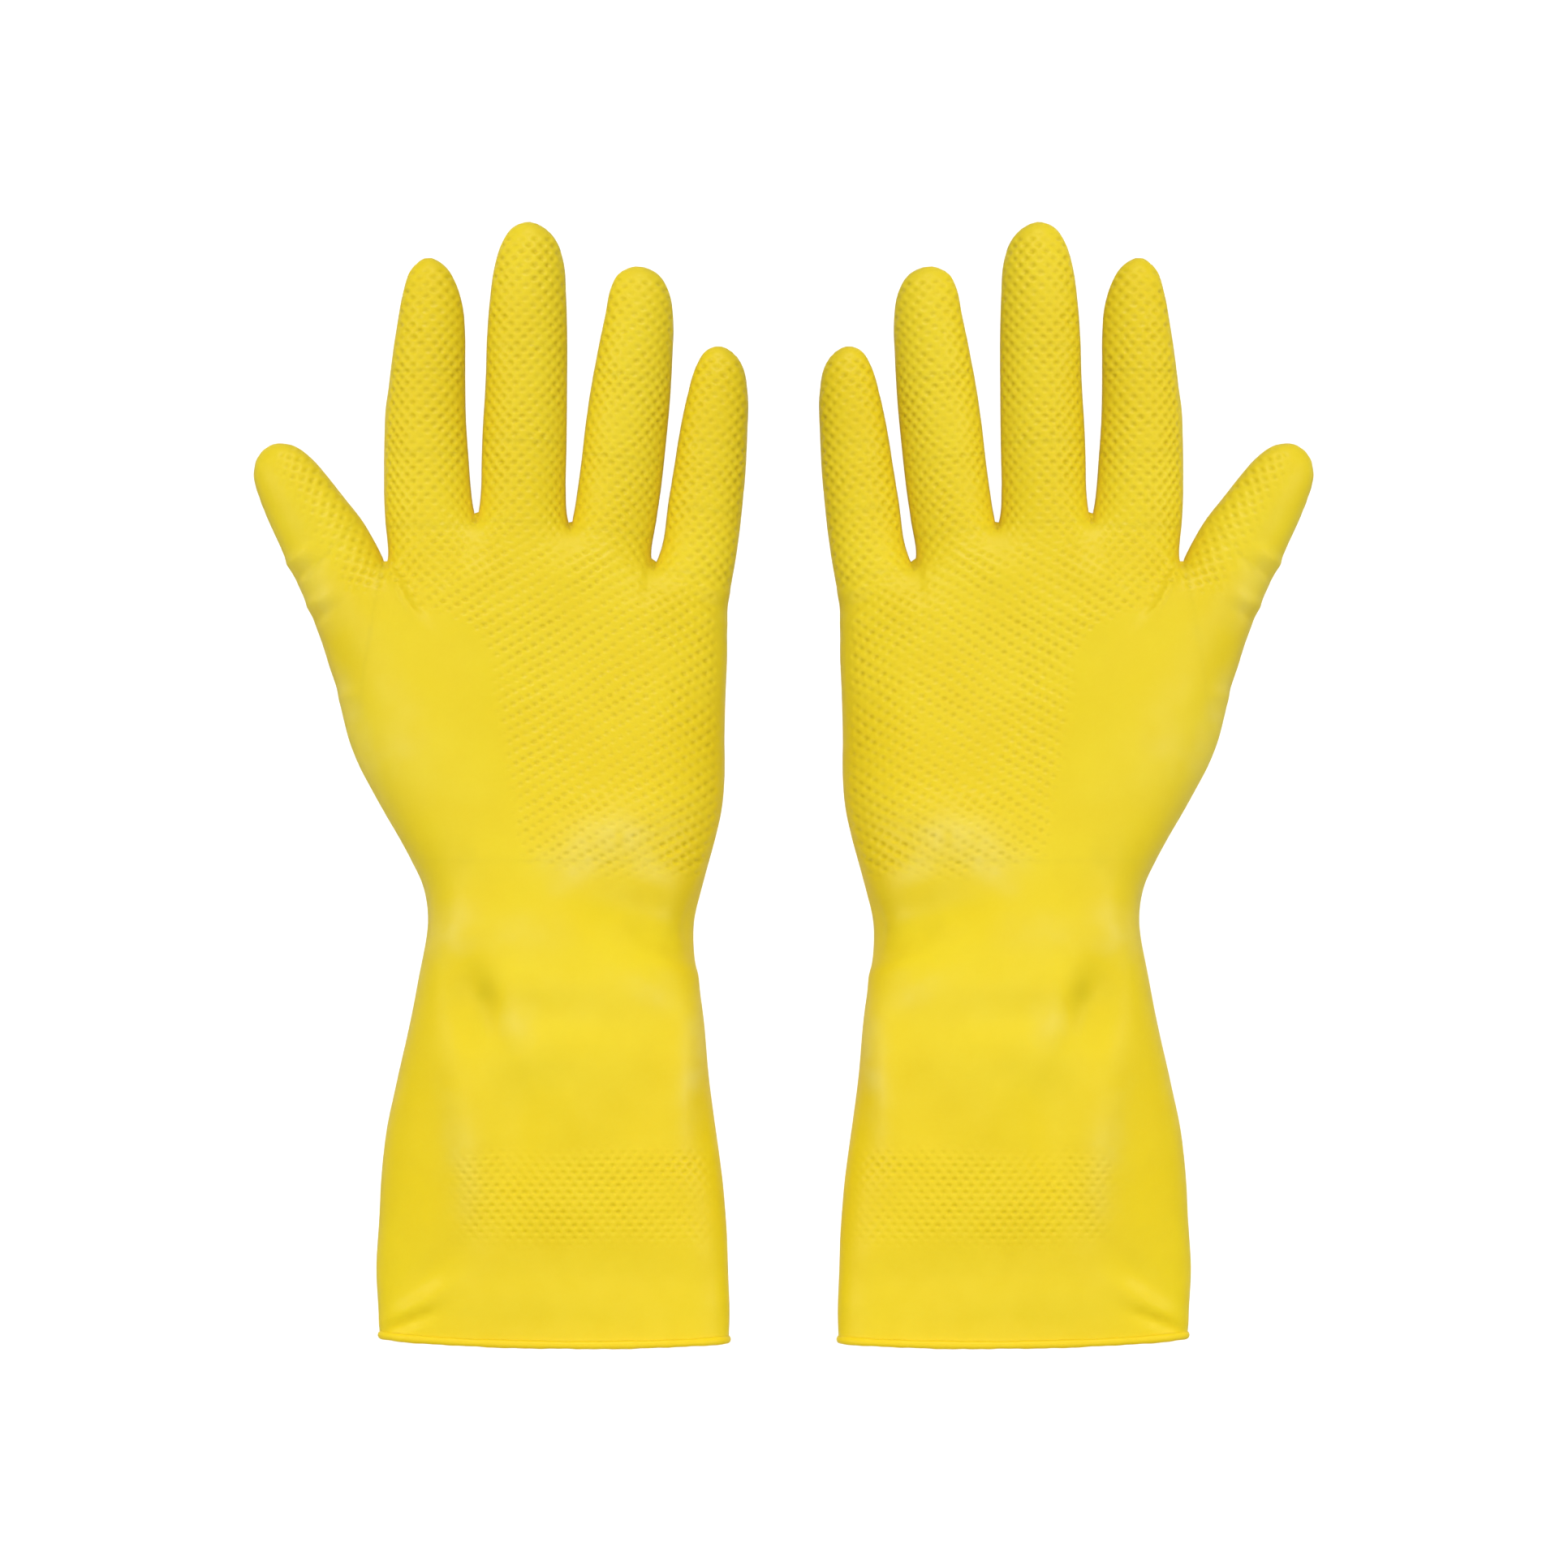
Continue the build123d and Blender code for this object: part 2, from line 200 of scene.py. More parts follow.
def inflate(d, k, cell, rounds):
    """Solves laplace(f) = -k inside d > 0 with f = 0 on the outline, which lies between grid points."""
    inside = d > 0
    coef = np.zeros_like(d)
    for axis in (0, 1):
        for s in (1, -1):
            nb = np.roll(d, -s, axis)
            theta = np.clip(d / np.maximum(d - nb, 1e-9), 0.08, 1.0)
            coef += np.where(nb > 0, 1.0, 1.0 / theta)
    coef = np.where(inside, coef, 1.0)
    f = np.where(inside, d * 8.0, 0.0)
    ii, jj = np.indices(d.shape)
    red = ((ii + jj) % 2 == 0) & inside
    black = ((ii + jj) % 2 == 1) & inside
    src = k * cell * cell
    omega = 1.93
    for _ in range(rounds):
        for part in (red, black):
            total = np.roll(f, 1, 0) + np.roll(f, -1, 0) + np.roll(f, 1, 1) + np.roll(f, -1, 1) + src
            f = np.where(part, f + omega * (total / coef - f), f)
    return f


class Grid:
    """Values on the plan grid, read with Catmull-Rom interpolation."""

    def __init__(self, xs, ys, v):
        self.x0, self.y0, self.c = xs[0], ys[0], xs[1] - xs[0]
        self.v = v

    def __call__(self, x, y):
        u, w = (x - self.x0) / self.c, (y - self.y0) / self.c
        i = np.clip(np.floor(u).astype(int), 1, self.v.shape[0] - 3)
        j = np.clip(np.floor(w).astype(int), 1, self.v.shape[1] - 3)
        fu, fw = np.clip(u - i, 0, 1), np.clip(w - j, 0, 1)

        def weights(t):
            return (0.5 * (-t + 2 * t * t - t ** 3), 0.5 * (2 - 5 * t * t + 3 * t ** 3),
                    0.5 * (t + 4 * t * t - 3 * t ** 3), 0.5 * (-t * t + t ** 3))

        wu, ww = weights(fu), weights(fw)
        out = 0.0
        for a in range(4):
            row = 0.0
            for b in range(4):
                row = row + self.v[i + a - 1, j + b - 1] * ww[b]
            out = out + row * wu[a]
        return out


# ------------------------------------------------------------------ plan fields
def finger_axis(name):
    root, tip, joints = FINGERS[name]
    root, tip = np.array(root), np.array(tip)
    length = np.linalg.norm(tip - root)
    return root, (tip - root) / length, length, joints


def along(x, y, root, d):
    """Distance along an axis and sideways from it."""
    rx, ry = x - root[0], y - root[1]
    return rx * d[0] + ry * d[1], rx * d[1] - ry * d[0]


def bump(x, y, cx, cy, sx, sy, turn, amp):
    c, s = math.cos(math.radians(turn)), math.sin(math.radians(turn))
    u, v = (x - cx) * c + (y - cy) * s, -(x - cx) * s + (y - cy) * c
    return amp * np.exp(-(u / sx) ** 2 - (v / sy) ** 2)


# soft relief of the upper side: (x, y, size along, size across, turn in degrees, height), all mm
RELIEF = [
    (-96.0, 12.0, 15.0, 24.0, -14.0, 2.2),        # ball of the thumb
    (-60.0, 30.0, 15.0, 22.0, 10.0, -2.6),        # hollow of the palm
    (-30.0, 6.0, 12.0, 24.0, 8.0, 1.6),           # outer side of the palm
    (-46.0, -11.0, 17.0, 8.0, 14.0, 2.4),         # heel, a light swelling
    (-35.0, -36.0, 19.0, 8.0, -16.0, -3.4),       # the dip below it
    (-92.0, -44.0, 5.0, 12.0, -24.0, 1.0),        # fold at the thumb side of the wrist
    (-83.0, -58.0, 7.0, 10.0, 24.0, -2.7),        # dimple below the wrist
    (-74.0, -62.0, 5.0, 11.0, 12.0, 1.2),
    (-60.0, -62.0, 22.0, 6.0, -4.0, -0.8),
    (-86.0, -90.0, 6.0, 22.0, 4.0, 1.7),          # lengthwise soft folds of the gauntlet
    (-72.0, -92.0, 7.0, 20.0, -6.0, -1.4),
    (-52.0, -86.0, 7.0, 22.0, 3.0, 0.9),
    (-38.0, -84.0, 9.0, 18.0, -8.0, -0.4),
    (-26.0, -72.0, 5.0, 20.0, -5.0, 1.8),
    (-27.0, -50.0, 12.0, 3.4, -24.0, 0.75),
    (-30.0, -44.5, 12.0, 3.2, -24.0, -0.65),
    (-97.0, -134.0, 12.0, 4.0, 48.0, -0.8),       # creases at the cuff's corner
    (-100.0, -141.0, 11.0, 2.4, 30.0, 0.9),
    (-101.0, -145.5, 8.0, 1.6, 22.0, -0.8),
    (-70.0, -138.0, 26.0, 9.0, 2.0, 0.6),
    (-40.0, -133.0, 22.0, 9.0, -3.0, -0.6),
    (-84.5, 56.0, 7.0, 5.0, 0.0, 0.8),            # pads under the fingers
    (-60.0, 57.0, 7.0, 5.0, 0.0, 0.7),
    (-36.0, 47.0, 8.0, 5.0, 0.0, 0.7),
    (-131.5, 61.5, 4.5, 1.6, 35.0, 1.0),          # creases on the thumb's outer edge
    (-129.5, 57.5, 5.0, 1.4, 35.0, -0.9),
    (-126.5, 49.5, 4.5, 1.6, 32.0, 0.9),
    (-124.5, 46.0, 5.0, 1.5, 32.0, -0.8),
    (-118.0, 24.0, 4.0, 1.8, 20.0, 0.5),
    (-18.5, 52.5, 5.0, 1.6, -18.0, 0.55),          # folds below the little finger
    (-19.5, 48.5, 6.0, 1.6, -20.0, -0.6),
    (-19.0, 44.5, 4.5, 1.8, -22.0, 0.35),
]
FOLD = [(-107.6, 60.4), (-106.0, 57.6), (-101.9, 49.6), (-98.5, 44.5), (-94.4, 39.2)]   # fold running down from the thumb's root


def relief(x, y):
    h = 0.0
    for b in RELIEF:
        h = h + bump(x, y, *b)
    # the fold: a narrow valley with a fuller edge on the thumb's side
    best, side, t_at = np.full(np.shape(x), 1e9), np.zeros(np.shape(x)), np.zeros(np.shape(x))
    for k in range(len(FOLD) - 1):
        a, b = np.array(FOLD[k]), np.array(FOLD[k + 1])
        ab = b - a
        t = np.clip(((x - a[0]) * ab[0] + (y - a[1]) * ab[1]) / (ab @ ab), 0, 1)
        dx, dy = x - a[0] - ab[0] * t, y - a[1] - ab[1] * t
        d = np.hypot(dx, dy)
        s = np.sign(dx * ab[1] - dy * ab[0])
        near = d < best
        best, side, t_at = np.where(near, d, best), np.where(near, s, side), np.where(near, k + t, t_at)
    fade = smooth(0.0, 1.2, t_at) * (1 - smooth(2.2, 4.0, t_at))
    out = best * side            # plus on the palm, minus on the thumb
    h = h + fade * (0.62 * np.exp(-(out / 1.1) ** 2) - 0.85 * np.exp(-((out + 2.8) / 2.2) ** 2))
    h = h + 0.35 * noise2(x, y, 34.0, 5) + 0.16 * noise2(x + 7, y - 3, 15.0, 9)
    return h


def plan_fields():
    poly = closed_curve(OUTLINE, 0.5)
    xs = np.arange(-153.0, -1.0, CELL)
    ys = np.arange(-186.0, 162.0, CELL)
    d = signed_distance(poly, xs, ys)
    gx, gy = np.meshgrid(xs, ys, indexing="ij")
    tab = np.array(THICK)
    # strength of the inflation from the local width: a full tube on fingers, flatter on hand and cuff
    width = np.zeros(len(ys))
    for j in range(len(ys)):
        run = np.where(d[:, j] > 0)[0]
        width[j] = (run[-1] - run[0]) * CELL / 2 if len(run) else 10.0
    want = np.interp(ys, tab[:, 0], tab[:, 1])
    k_hand = 2 * (want / width) ** 2
    k_hand = np.broadcast_to(k_hand[None, :], gx.shape)
    k_tube = 0.95
    wf = np.zeros_like(gx)
    for name in FINGERS:
        root, dr, length, joints = finger_axis(name)
        s, c = along(gx, gy, root, dr)
        lat = np.abs(c)
        wf = np.maximum(wf, smooth(joints[0] - 24, joints[0] - 2, s) * (1 - smooth(12.0, 15.0, lat)))
    s_t, c_t = along(gx, gy, THUMB_O, THUMB_D)
    wt = smooth(-34.0, -2.0, s_t) * (1 - smooth(14.0, 18.0, np.abs(c_t))) * (1 - smooth(-111.0, -101.0, gx))
    k = k_hand * (1 - np.maximum(wf, wt)) + k_tube * np.maximum(wf, wt)
    k = np.where(ys[None, :] > 62, np.maximum(k, 0.35), k)
    f = inflate(d, k, CELL, 900)
    # hand and cuff lie flatter than an oval: full over most of the width, rounding off near the sides
    level = (want ** 2)[None, :]
    t = f / level
    flat = np.where(t < 1, 1 - np.clip(1 - t, 0, 1) ** 1.9, 1.0)
    share = 0.85 * (1 - np.maximum(wf, wt)) * (d > 0)
    f = level * (t * (1 - share) + flat * share)
    # a clean zero on the outline: f = d * g with g carried out from the inside
    g = np.where(d > 0.9, f / np.maximum(d, 0.9), 0.0)
    known = d > 0.9
    for _ in range(26):
        num, den = np.zeros_like(g), np.zeros_like(g)
        for axis in (0, 1):
            for s in (1, -1):
                num += np.roll(g * known, s, axis)
                den += np.roll(known.astype(float), s, axis)
        grow = (~known) & (den > 0)
        g = np.where(grow, num / np.maximum(den, 1), g)
        known = known | grow
    for _ in range(6):
        avg = (np.roll(g, 1, 0) + np.roll(g, -1, 0) + np.roll(g, 1, 1) + np.roll(g, -1, 1)) / 4
        g = np.where(d > 0.9, g, avg)
    mix = smooth(0.9, 2.2, d)
    f = mix * f + (1 - mix) * d * np.maximum(g, 2.0)
    f = np.where(d < -10, d * 6, f)
    # middle surface
    zc = np.broadcast_to(np.interp(ys, tab[:, 0], tab[:, 2])[None, :], gx.shape)
    z_thumb = np.interp(s_t, [-60, -40, -20, 0, 12, 24, 60], [12.8, 12.4, 11.0, 9.4, 8.5, 8.0, 8.0])
    side = smooth(2.0, 16.0, -((gx - CREASE_B[0]) * (CREASE_A[1] - CREASE_B[1])
                               - (gy - CREASE_B[1]) * (CREASE_A[0] - CREASE_B[0])) / np.linalg.norm(CREASE_A - CREASE_B))
    wz = side * (gy > -32) * smooth(-32.0, -6.0, gy)
    zc = zc * (1 - wz) + z_thumb * wz
    for _ in range(12):
        zc = (zc + np.roll(zc, 1, 0) + np.roll(zc, -1, 0) + np.roll(zc, 1, 1) + np.roll(zc, -1, 1)) / 5
    fx, fy = np.gradient(f, CELL)
    slope = np.hypot(fx, fy)
    return xs, ys, d, f, zc, slope


# ------------------------------------------------------------------ the skin as a mesh
class Skin:
    """Signed field of the smooth glove: positive inside, about a distance near the surface."""

    def __init__(self):
        xs, ys, d, f, zc, slope = plan_fields()
        self.f, self.zc, self.slope = Grid(xs, ys, f), Grid(xs, ys, zc), Grid(xs, ys, slope)
        self.plan = Grid(xs, ys, d)

    def value(self, p):
        x, y, z = p[:, 0], p[:, 1], p[:, 2]
        f, zc, sl = self.f(x, y), self.zc(x, y), self.slope(x, y)
        u = z - zc
        v = (f - u * u) / np.sqrt(sl * sl + 4 * u * u + 1.0)
        # flat where it lies on the table
        r = 1.6
        h = np.clip(0.5 + 0.5 * (z - v) / r, 0, 1)
        return z * (1 - h) + v * h - r * h * (1 - h)

    def gradient(self, p, e=0.08):
        g = np.zeros_like(p)
        for a in range(3):
            q, r = p.copy(), p.copy()
            q[:, a] += e
            r[:, a] -= e
            g[:, a] = (self.value(q) - self.value(r)) / (2 * e)
        return g

    def project(self, p, rounds=4):
        for _ in range(rounds):
            g = self.gradient(p)
            step = self.value(p)[:, None] * g / np.maximum((g * g).sum(1), 0.05)[:, None]
            n = np.linalg.norm(step, axis=1)
            p = p - step * np.minimum(1.0, 0.8 / np.maximum(n, 1e-9))[:, None]
        return p


def surface_net(skin, h):
    """Quads of the zero surface on a regular grid (naive surface nets), as vertices and triangles."""
    xs = np.arange(-147.5, -5.5, h)
    ys = np.arange(-158.0, 156.5, h)
    zs = np.arange(-2 * h - 0.35, 37.0, h)
    gx, gy = np.meshgrid(xs, ys, indexing="ij")
    gx, gy = gx.ravel(), gy.ravel()
    f, zc, sl = skin.f(gx, gy), skin.zc(gx, gy), skin.slope(gx, gy)
    val = np.empty((len(gx), len(zs)))
    for k, z in enumerate(zs):
        u = z - zc
        v = (f - u * u) / np.sqrt(sl * sl + 4 * u * u + 1.0)
        hh = np.clip(0.5 + 0.5 * (z - v) / 1.6, 0, 1)
        val[:, k] = z * (1 - hh) + v * hh - 1.6 * hh * (1 - hh)
    val = val.reshape(len(xs), len(ys), len(zs))
    val[:, 0, :] = val[:, -1, :] = -1.0
    inside = val > 0
    n0, n1, n2 = val.shape
    corner = [(a, b, c) for a in (0, 1) for b in (0, 1) for c in (0, 1)]
    cut = lambda arr, o: arr[o[0]:n0 - 1 + o[0], o[1]:n1 - 1 + o[1], o[2]:n2 - 1 + o[2]]
    count = sum(cut(inside, o).astype(np.int8) for o in corner)
    active = (count > 0) & (count < 8)
    cell = np.argwhere(active)
    index = -np.ones(active.shape, np.int64)
    index[active] = np.arange(len(cell))
    acc, cnt = np.zeros((len(cell), 3)), np.zeros(len(cell))
    for a in corner:
        for axis in range(3):
            if a[axis]:
                continue
            b = list(a)
            b[axis] = 1
            va = val[cell[:, 0] + a[0], cell[:, 1] + a[1], cell[:, 2] + a[2]]
            vb = val[cell[:, 0] + b[0], cell[:, 1] + b[1], cell[:, 2] + b[2]]
            hit = (va > 0) != (vb > 0)
            t = np.where(hit, va / np.where(hit, va - vb, 1), 0)
            p = np.array(a, float) + np.zeros((len(cell), 3))
            p[:, axis] += t
            acc += p * hit[:, None]
            cnt += hit
    verts = (cell + acc / cnt[:, None]) * h + np.array((xs[0], ys[0], zs[0]))
    quads = []
    for axis in range(3):
        o1, o2 = (axis + 1) % 3, (axis + 2) % 3
        lo = [slice(1, n0 - 1), slice(1, n1 - 1), slice(1, n2 - 1)]
        lo[axis] = slice(0, (n0, n1, n2)[axis] - 1)
        hi = list(lo)
        hi[axis] = slice(1, (n0, n1, n2)[axis])
        a, b = inside[tuple(lo)], inside[tuple(hi)]
        for sign, mask in ((1, a & ~b), (-1, ~a & b)):
            base = np.argwhere(mask)
            start = np.array([1, 1, 1])
            start[axis] = 0
            base = base + start
            ring = []
            for d1, d2 in ((0, 0), (-1, 0), (-1, -1), (0, -1)):
                c = base.copy()
                c[:, o1] += d1
                c[:, o2] += d2
                ring.append(index[c[:, 0], c[:, 1], c[:, 2]])
            q = np.stack(ring, 1)
            quads.append(q if sign > 0 else q[:, ::-1])
    quads = np.concatenate(quads)
    d1 = np.linalg.norm(verts[quads[:, 0]] - verts[quads[:, 2]], axis=1)
    d2 = np.linalg.norm(verts[quads[:, 1]] - verts[quads[:, 3]], axis=1)
    short = d1 < d2
    tris = np.concatenate([quads[short][:, [0, 1, 2]], quads[short][:, [0, 2, 3]],
                           quads[~short][:, [0, 1, 3]], quads[~short][:, [1, 2, 3]]])
    return verts, tris


def edge_table(tris):
    e = np.concatenate([tris[:, [0, 1]], tris[:, [1, 2]], tris[:, [2, 0]]])
    e = np.sort(e, 1)
    uniq, inv = np.unique(e, axis=0, return_inverse=True)
    return uniq, inv.reshape(3, len(tris)).T


def relax(p, tris, rounds, keep=None):
    """Evens out the spacing of the points along the surface."""
    uniq, _ = edge_table(tris)
    for _ in range(rounds):
        acc, cnt = np.zeros_like(p), np.zeros(len(p))
        for a, b in ((0, 1), (1, 0)):
            np.add.at(acc, uniq[:, a], p[uniq[:, b]])
            np.add.at(cnt, uniq[:, a], 1)
        q = acc / np.maximum(cnt, 1)[:, None]
        m = 0.5 if keep is None else np.where(keep, 0.0, 0.5)[:, None]
        p = p + (q - p) * m
    return p


def vertex_normals(p, tris):
    n = np.cross(p[tris[:, 1]] - p[tris[:, 0]], p[tris[:, 2]] - p[tris[:, 0]])
    out = np.zeros_like(p)
    for k in range(3):
        np.add.at(out, tris[:, k], n)
    return out / np.maximum(np.linalg.norm(out, axis=1), 1e-12)[:, None]


def refine(p, tris, mark):
    """Splits each marked triangle into nine; neighbours take up the extra points. Returns points, triangles, the
    parent triangle of each, and the two points laid on each marked edge."""
    uniq, te = edge_table(tris)
    hot = np.zeros(len(uniq), bool)
    hot[te[mark].ravel()] = True
    first = np.where(hot, len(p) + 2 * (np.cumsum(hot) - 1), -1)
    a, b = p[uniq[hot][:, 0]], p[uniq[hot][:, 1]]
    extra = np.empty((2 * hot.sum(), 3))
    extra[0::2], extra[1::2] = a + (b - a) / 3, a + (b - a) * 2 / 3
    new_p = [p, extra]
    total = len(p) + len(extra)
    out, parent = [], []
    nhot = hot[te].sum(1)

    def pair(t, k):
        """The two points of side k of triangles t, in the order of travel."""
        e = te[t, k]
        i = tris[t, k]
        fwd = uniq[e, 0] == i
        return np.where(fwd, first[e], first[e] + 1), np.where(fwd, first[e] + 1, first[e])

    full = np.where(nhot == 3)[0]
    if len(full):
        c = total + np.arange(len(full))
        new_p.append(p[tris[full]].mean(1))
        total += len(full)
        v0, v1, v2 = tris[full].T
        a1, a2 = pair(full, 0)
        b1, b2 = pair(full, 1)
        c1, c2 = pair(full, 2)
        for t in ((v0, a1, c2), (a1, a2, c), (a2, v1, b1), (a1, c, c2), (a2, b1, c), (c2, c, c1), (c, b1, b2),
                  (c, b2, c1), (c1, b2, v2)):
            out.append(np.stack(t, 1))
            parent.append(full)
    for n in (1, 2):
        idx = np.where(nhot == n)[0]
        if not len(idx):
            continue
        flags = hot[te[idx]]
        for combo in {tuple(r) for r in flags.tolist()}:
            t = idx[(flags == np.array(combo)).all(1)]
            loop = []
            for k in range(3):
                loop.append(tris[t, k])
                if combo[k]:
                    loop += list(pair(t, k))
            c = total + np.arange(len(t))
            new_p.append(p[tris[t]].mean(1))
            total += len(t)
            for m in range(len(loop)):
                out.append(np.stack([loop[m], loop[(m + 1) % len(loop)], c], 1))
                parent.append(t)
    rest = np.where(nhot == 0)[0]
    out.append(tris[rest])
    parent.append(rest)
    return np.concatenate(new_p), np.concatenate(out), np.concatenate(parent), (uniq, hot, first)


# ------------------------------------------------------------------ relief and grip on the mesh
def pits(u, v, cell, wide, tall):
    """Small lens-shaped pits on a skew lattice: u and v count cells, cell holds one step of u and one of v in mm."""
    fu, fv = u - np.floor(u), v - np.floor(v)
    h = 0.0
    for a in (0, 1):
        for b in (0, 1):
            du, dv = fu - a, fv - b
            dx = du * cell[0][0] + dv * cell[1][0]
            dy = du * cell[0][1] + dv * cell[1][1]
            h = h + np.exp(-(dx / wide) ** 2 - (dy / tall) ** 2)
    return h


WEBS = [(-83.4, 71.6), (-57.9, 69.8), (-35.2, 59.3)]
PALM_EDGE_Y = [-28.0, -20.0, 16.0, 26.0, 33.5, 40.7, 45.8, 48.0, 56.8, 62.0]
PALM_EDGE_X = [-71.5, -72.0, -77.6, -79.5, -79.5, -83.4, -92.2, -102.5, -108.5, -110.0]


def meet_line(x):
    """Height at which the grip of the fingers and the grip of the palm meet."""
    return 66.0 - 12.5 * smooth(-62.0, -18.0, x) - 13.0 * (1 - smooth(-93.0, -82.0, x))


def grip_zones(x, y):
    """List of (share 0 to 1, pits 0 to 1, depth) for the moulded grip at plan points."""
    zones = []
    meet = meet_line(x)
    up = smooth(meet - 3.5, meet + 2.5, y)
    web = np.ones_like(x)
    for wx, wy in WEBS:
        web = web * (1 - np.exp(-((x - wx) / 4.2) ** 2 - ((y - wy + 3.5) / 4.2) ** 2))
    j1, j2 = 0.15 * noise2(x, y, 6.0, 51), 0.15 * noise2(x, y, 6.0, 52)
    big = ((1.975, 1.785), (1.975, -1.785))
    for name in FINGERS:
        root, d, length, joints = finger_axis(name)
        s, c = along(x, y, root, d)
        lat = np.abs(c)
        w = up * web * (1 - smooth(11.8, 12.8, lat)) * (1 - smooth(length - 4.5, length - 1.5, s)) * (s > 0)
        w = w * smooth(-0.5, 2.5, x - np.interp(y, PALM_EDGE_Y, PALM_EDGE_X))
        wrap = c * (1 + 0.25 * (c / 10.5) ** 2)
        zones.append((w, pits(wrap / 3.95 + s / 3.57 + j1, wrap / 3.95 - s / 3.57 + j2, big, 0.98, 0.62), 0.46))
    palm = smooth(-1.0, 4.5, x - np.interp(y, PALM_EDGE_Y, PALM_EDGE_X)) * (1 - smooth(-20.0, -16.8, x))
    ragged = y + 2.5 * noise2(x, y, 11.0, 61) + 1.2 * noise2(x, y, 4.0, 62)
    palm = palm * smooth(-27.5, -18.5, ragged) * (1 - up) * web
    a, b = math.radians(31), math.radians(51)
    turn = math.sin(a + b)
    skew = ((-2.80 * math.cos(b) / turn, 2.80 * math.sin(b) / turn), (2.38 * math.cos(a) / turn, 2.38 * math.sin(a) / turn))
    zones.append((palm, pits((-x * math.sin(a) + y * math.cos(a)) / 2.80 + j1, (x * math.sin(b) + y * math.cos(b)) / 2.38 + j2,
                             skew, 0.84, 0.54), 0.40))
    s, c = along(x, y, THUMB_O, THUMB_D)
    thumb = smooth(-3.5, 3.0, c) * smooth(-16, -6, s - 0.6 * (12 - c)) * (1 - smooth(36, 39, s)) * (x < -107.8)
    zones.append((thumb, pits(c / 3.95 + s / 3.57 + j1, c / 3.95 - s / 3.57 + j2, big, 0.95, 0.62), 0.42))
    cuff = smooth(-127.0, -119.0, y) * (1 - smooth(-102.5, -96.0, y)) * smooth(-92.0, -82.0, x) * (1 - smooth(-24.0, -17.0, x))
    cuff = cuff * (0.65 + 0.35 * noise2(x, y, 14.0, 31))
    zones.append((cuff, pits(x / 2.97 + y / 3.61, x / 2.97 - y / 3.61, ((1.485, 1.805), (1.485, -1.805)), 0.75, 0.56), 0.32))
    return zones


def grip(x, y, nz):
    h, share, hole = 0.0, 0.0, 0.0
    uneven = 1 + 0.38 * noise2(x, y, 5.5, 41) + 0.26 * noise2(x, y, 2.3, 42)
    for w, pit, depth in grip_zones(x, y):
        m = w * smooth(0.30, 0.62, nz)
        h = h + m * depth * uneven * (0.28 - pit)
        # hole: depth of the pits, later the mask for painted shade and dirt in the latex colour
        hole = hole + m * pit * uneven
        share = np.maximum(share, m)
    return h, share, hole


# painted highlights (plus) and painted shade (minus) laid into the latex colour as soft patches: x, y, size along, size
# across, turn, amount
PAINTED_HIGHLIGHT_SHADE = [
    (-48.0, -15.5, 13.0, 6.0, 18.0, 0.95), (-37.0, -22.0, 8.0, 3.5, -35.0, 0.45), (-56.0, -24.0, 8.0, 3.0, 40.0, 0.4),
    (-32.0, -38.0, 15.0, 7.0, -14.0, -0.55), (-89.0, -40.0, 5.0, 9.0, -20.0, 0.6), (-83.0, -58.5, 6.5, 8.0, 15.0, -0.8),
    (-72.5, -64.0, 5.0, 8.0, 20.0, 0.55), (-24.5, -72.0, 3.5, 17.0, -4.0, 0.7), (-36.0, -56.0, 9.0, 3.0, -28.0, 0.4),
    (-87.0, -98.0, 5.0, 20.0, 5.0, 0.35), (-116.5, 19.0, 3.5, 20.0, 18.0, 0.55), (-126.0, 52.0, 3.5, 14.0, 28.0, 0.45),
    (-120.0, 36.0, 6.0, 5.0, 20.0, -0.35), (-131.5, 70.0, 5.0, 6.0, 30.0, -0.3), (-104.0, 6.0, 9.0, 14.0, -20.0, 0.25),
    (-88.0, -21.0, 10.0, 8.0, 10.0, -0.35), (-70.0, -40.0, 12.0, 5.0, 8.0, 0.25), (-60.0, -78.0, 14.0, 9.0, 0.0, -0.3),
]


# painted highlight and painted shade: per-point amount; plus lightens the latex colour, minus darkens it
def painted_highlight_shade(x, y):
    h = np.zeros_like(x)
    for b in PAINTED_HIGHLIGHT_SHADE:
        h = h + bump(x, y, *b)
    return np.clip(h * (1 + 0.45 * noise2(x, y, 5.0, 71) + 0.25 * noise2(x, y, 2.6, 72)), -1, 1)


def rim_cut(x, y):
    return y - rim_y(x)


# planes that part the skin, in plan: thumb fold and thumb joint run a little askew to their hinges so that
# they stay clear of each other beside the crotch
def thumb_local(p, turn):
    """Unit vector in plan, turned from the thumb's own direction towards its outer side by turn degrees."""
    side = np.array((THUMB_D[1], -THUMB_D[0]))
    t = math.radians(turn)
    return THUMB_D * math.cos(t) - side * math.sin(t)


THUMB_SIDE = np.array((THUMB_D[1], -THUMB_D[0]))
CROTCH = THUMB_O + THUMB_SIDE * 12.4
FOLD_N = thumb_local(None, 52.0)
FOLD_START = float(CROTCH @ FOLD_N) + 0.1
TIP_N = thumb_local(None, 20.0)
TIP_START = float((THUMB_O + THUMB_SIDE * 12.0 + THUMB_D * 12.4) @ TIP_N)


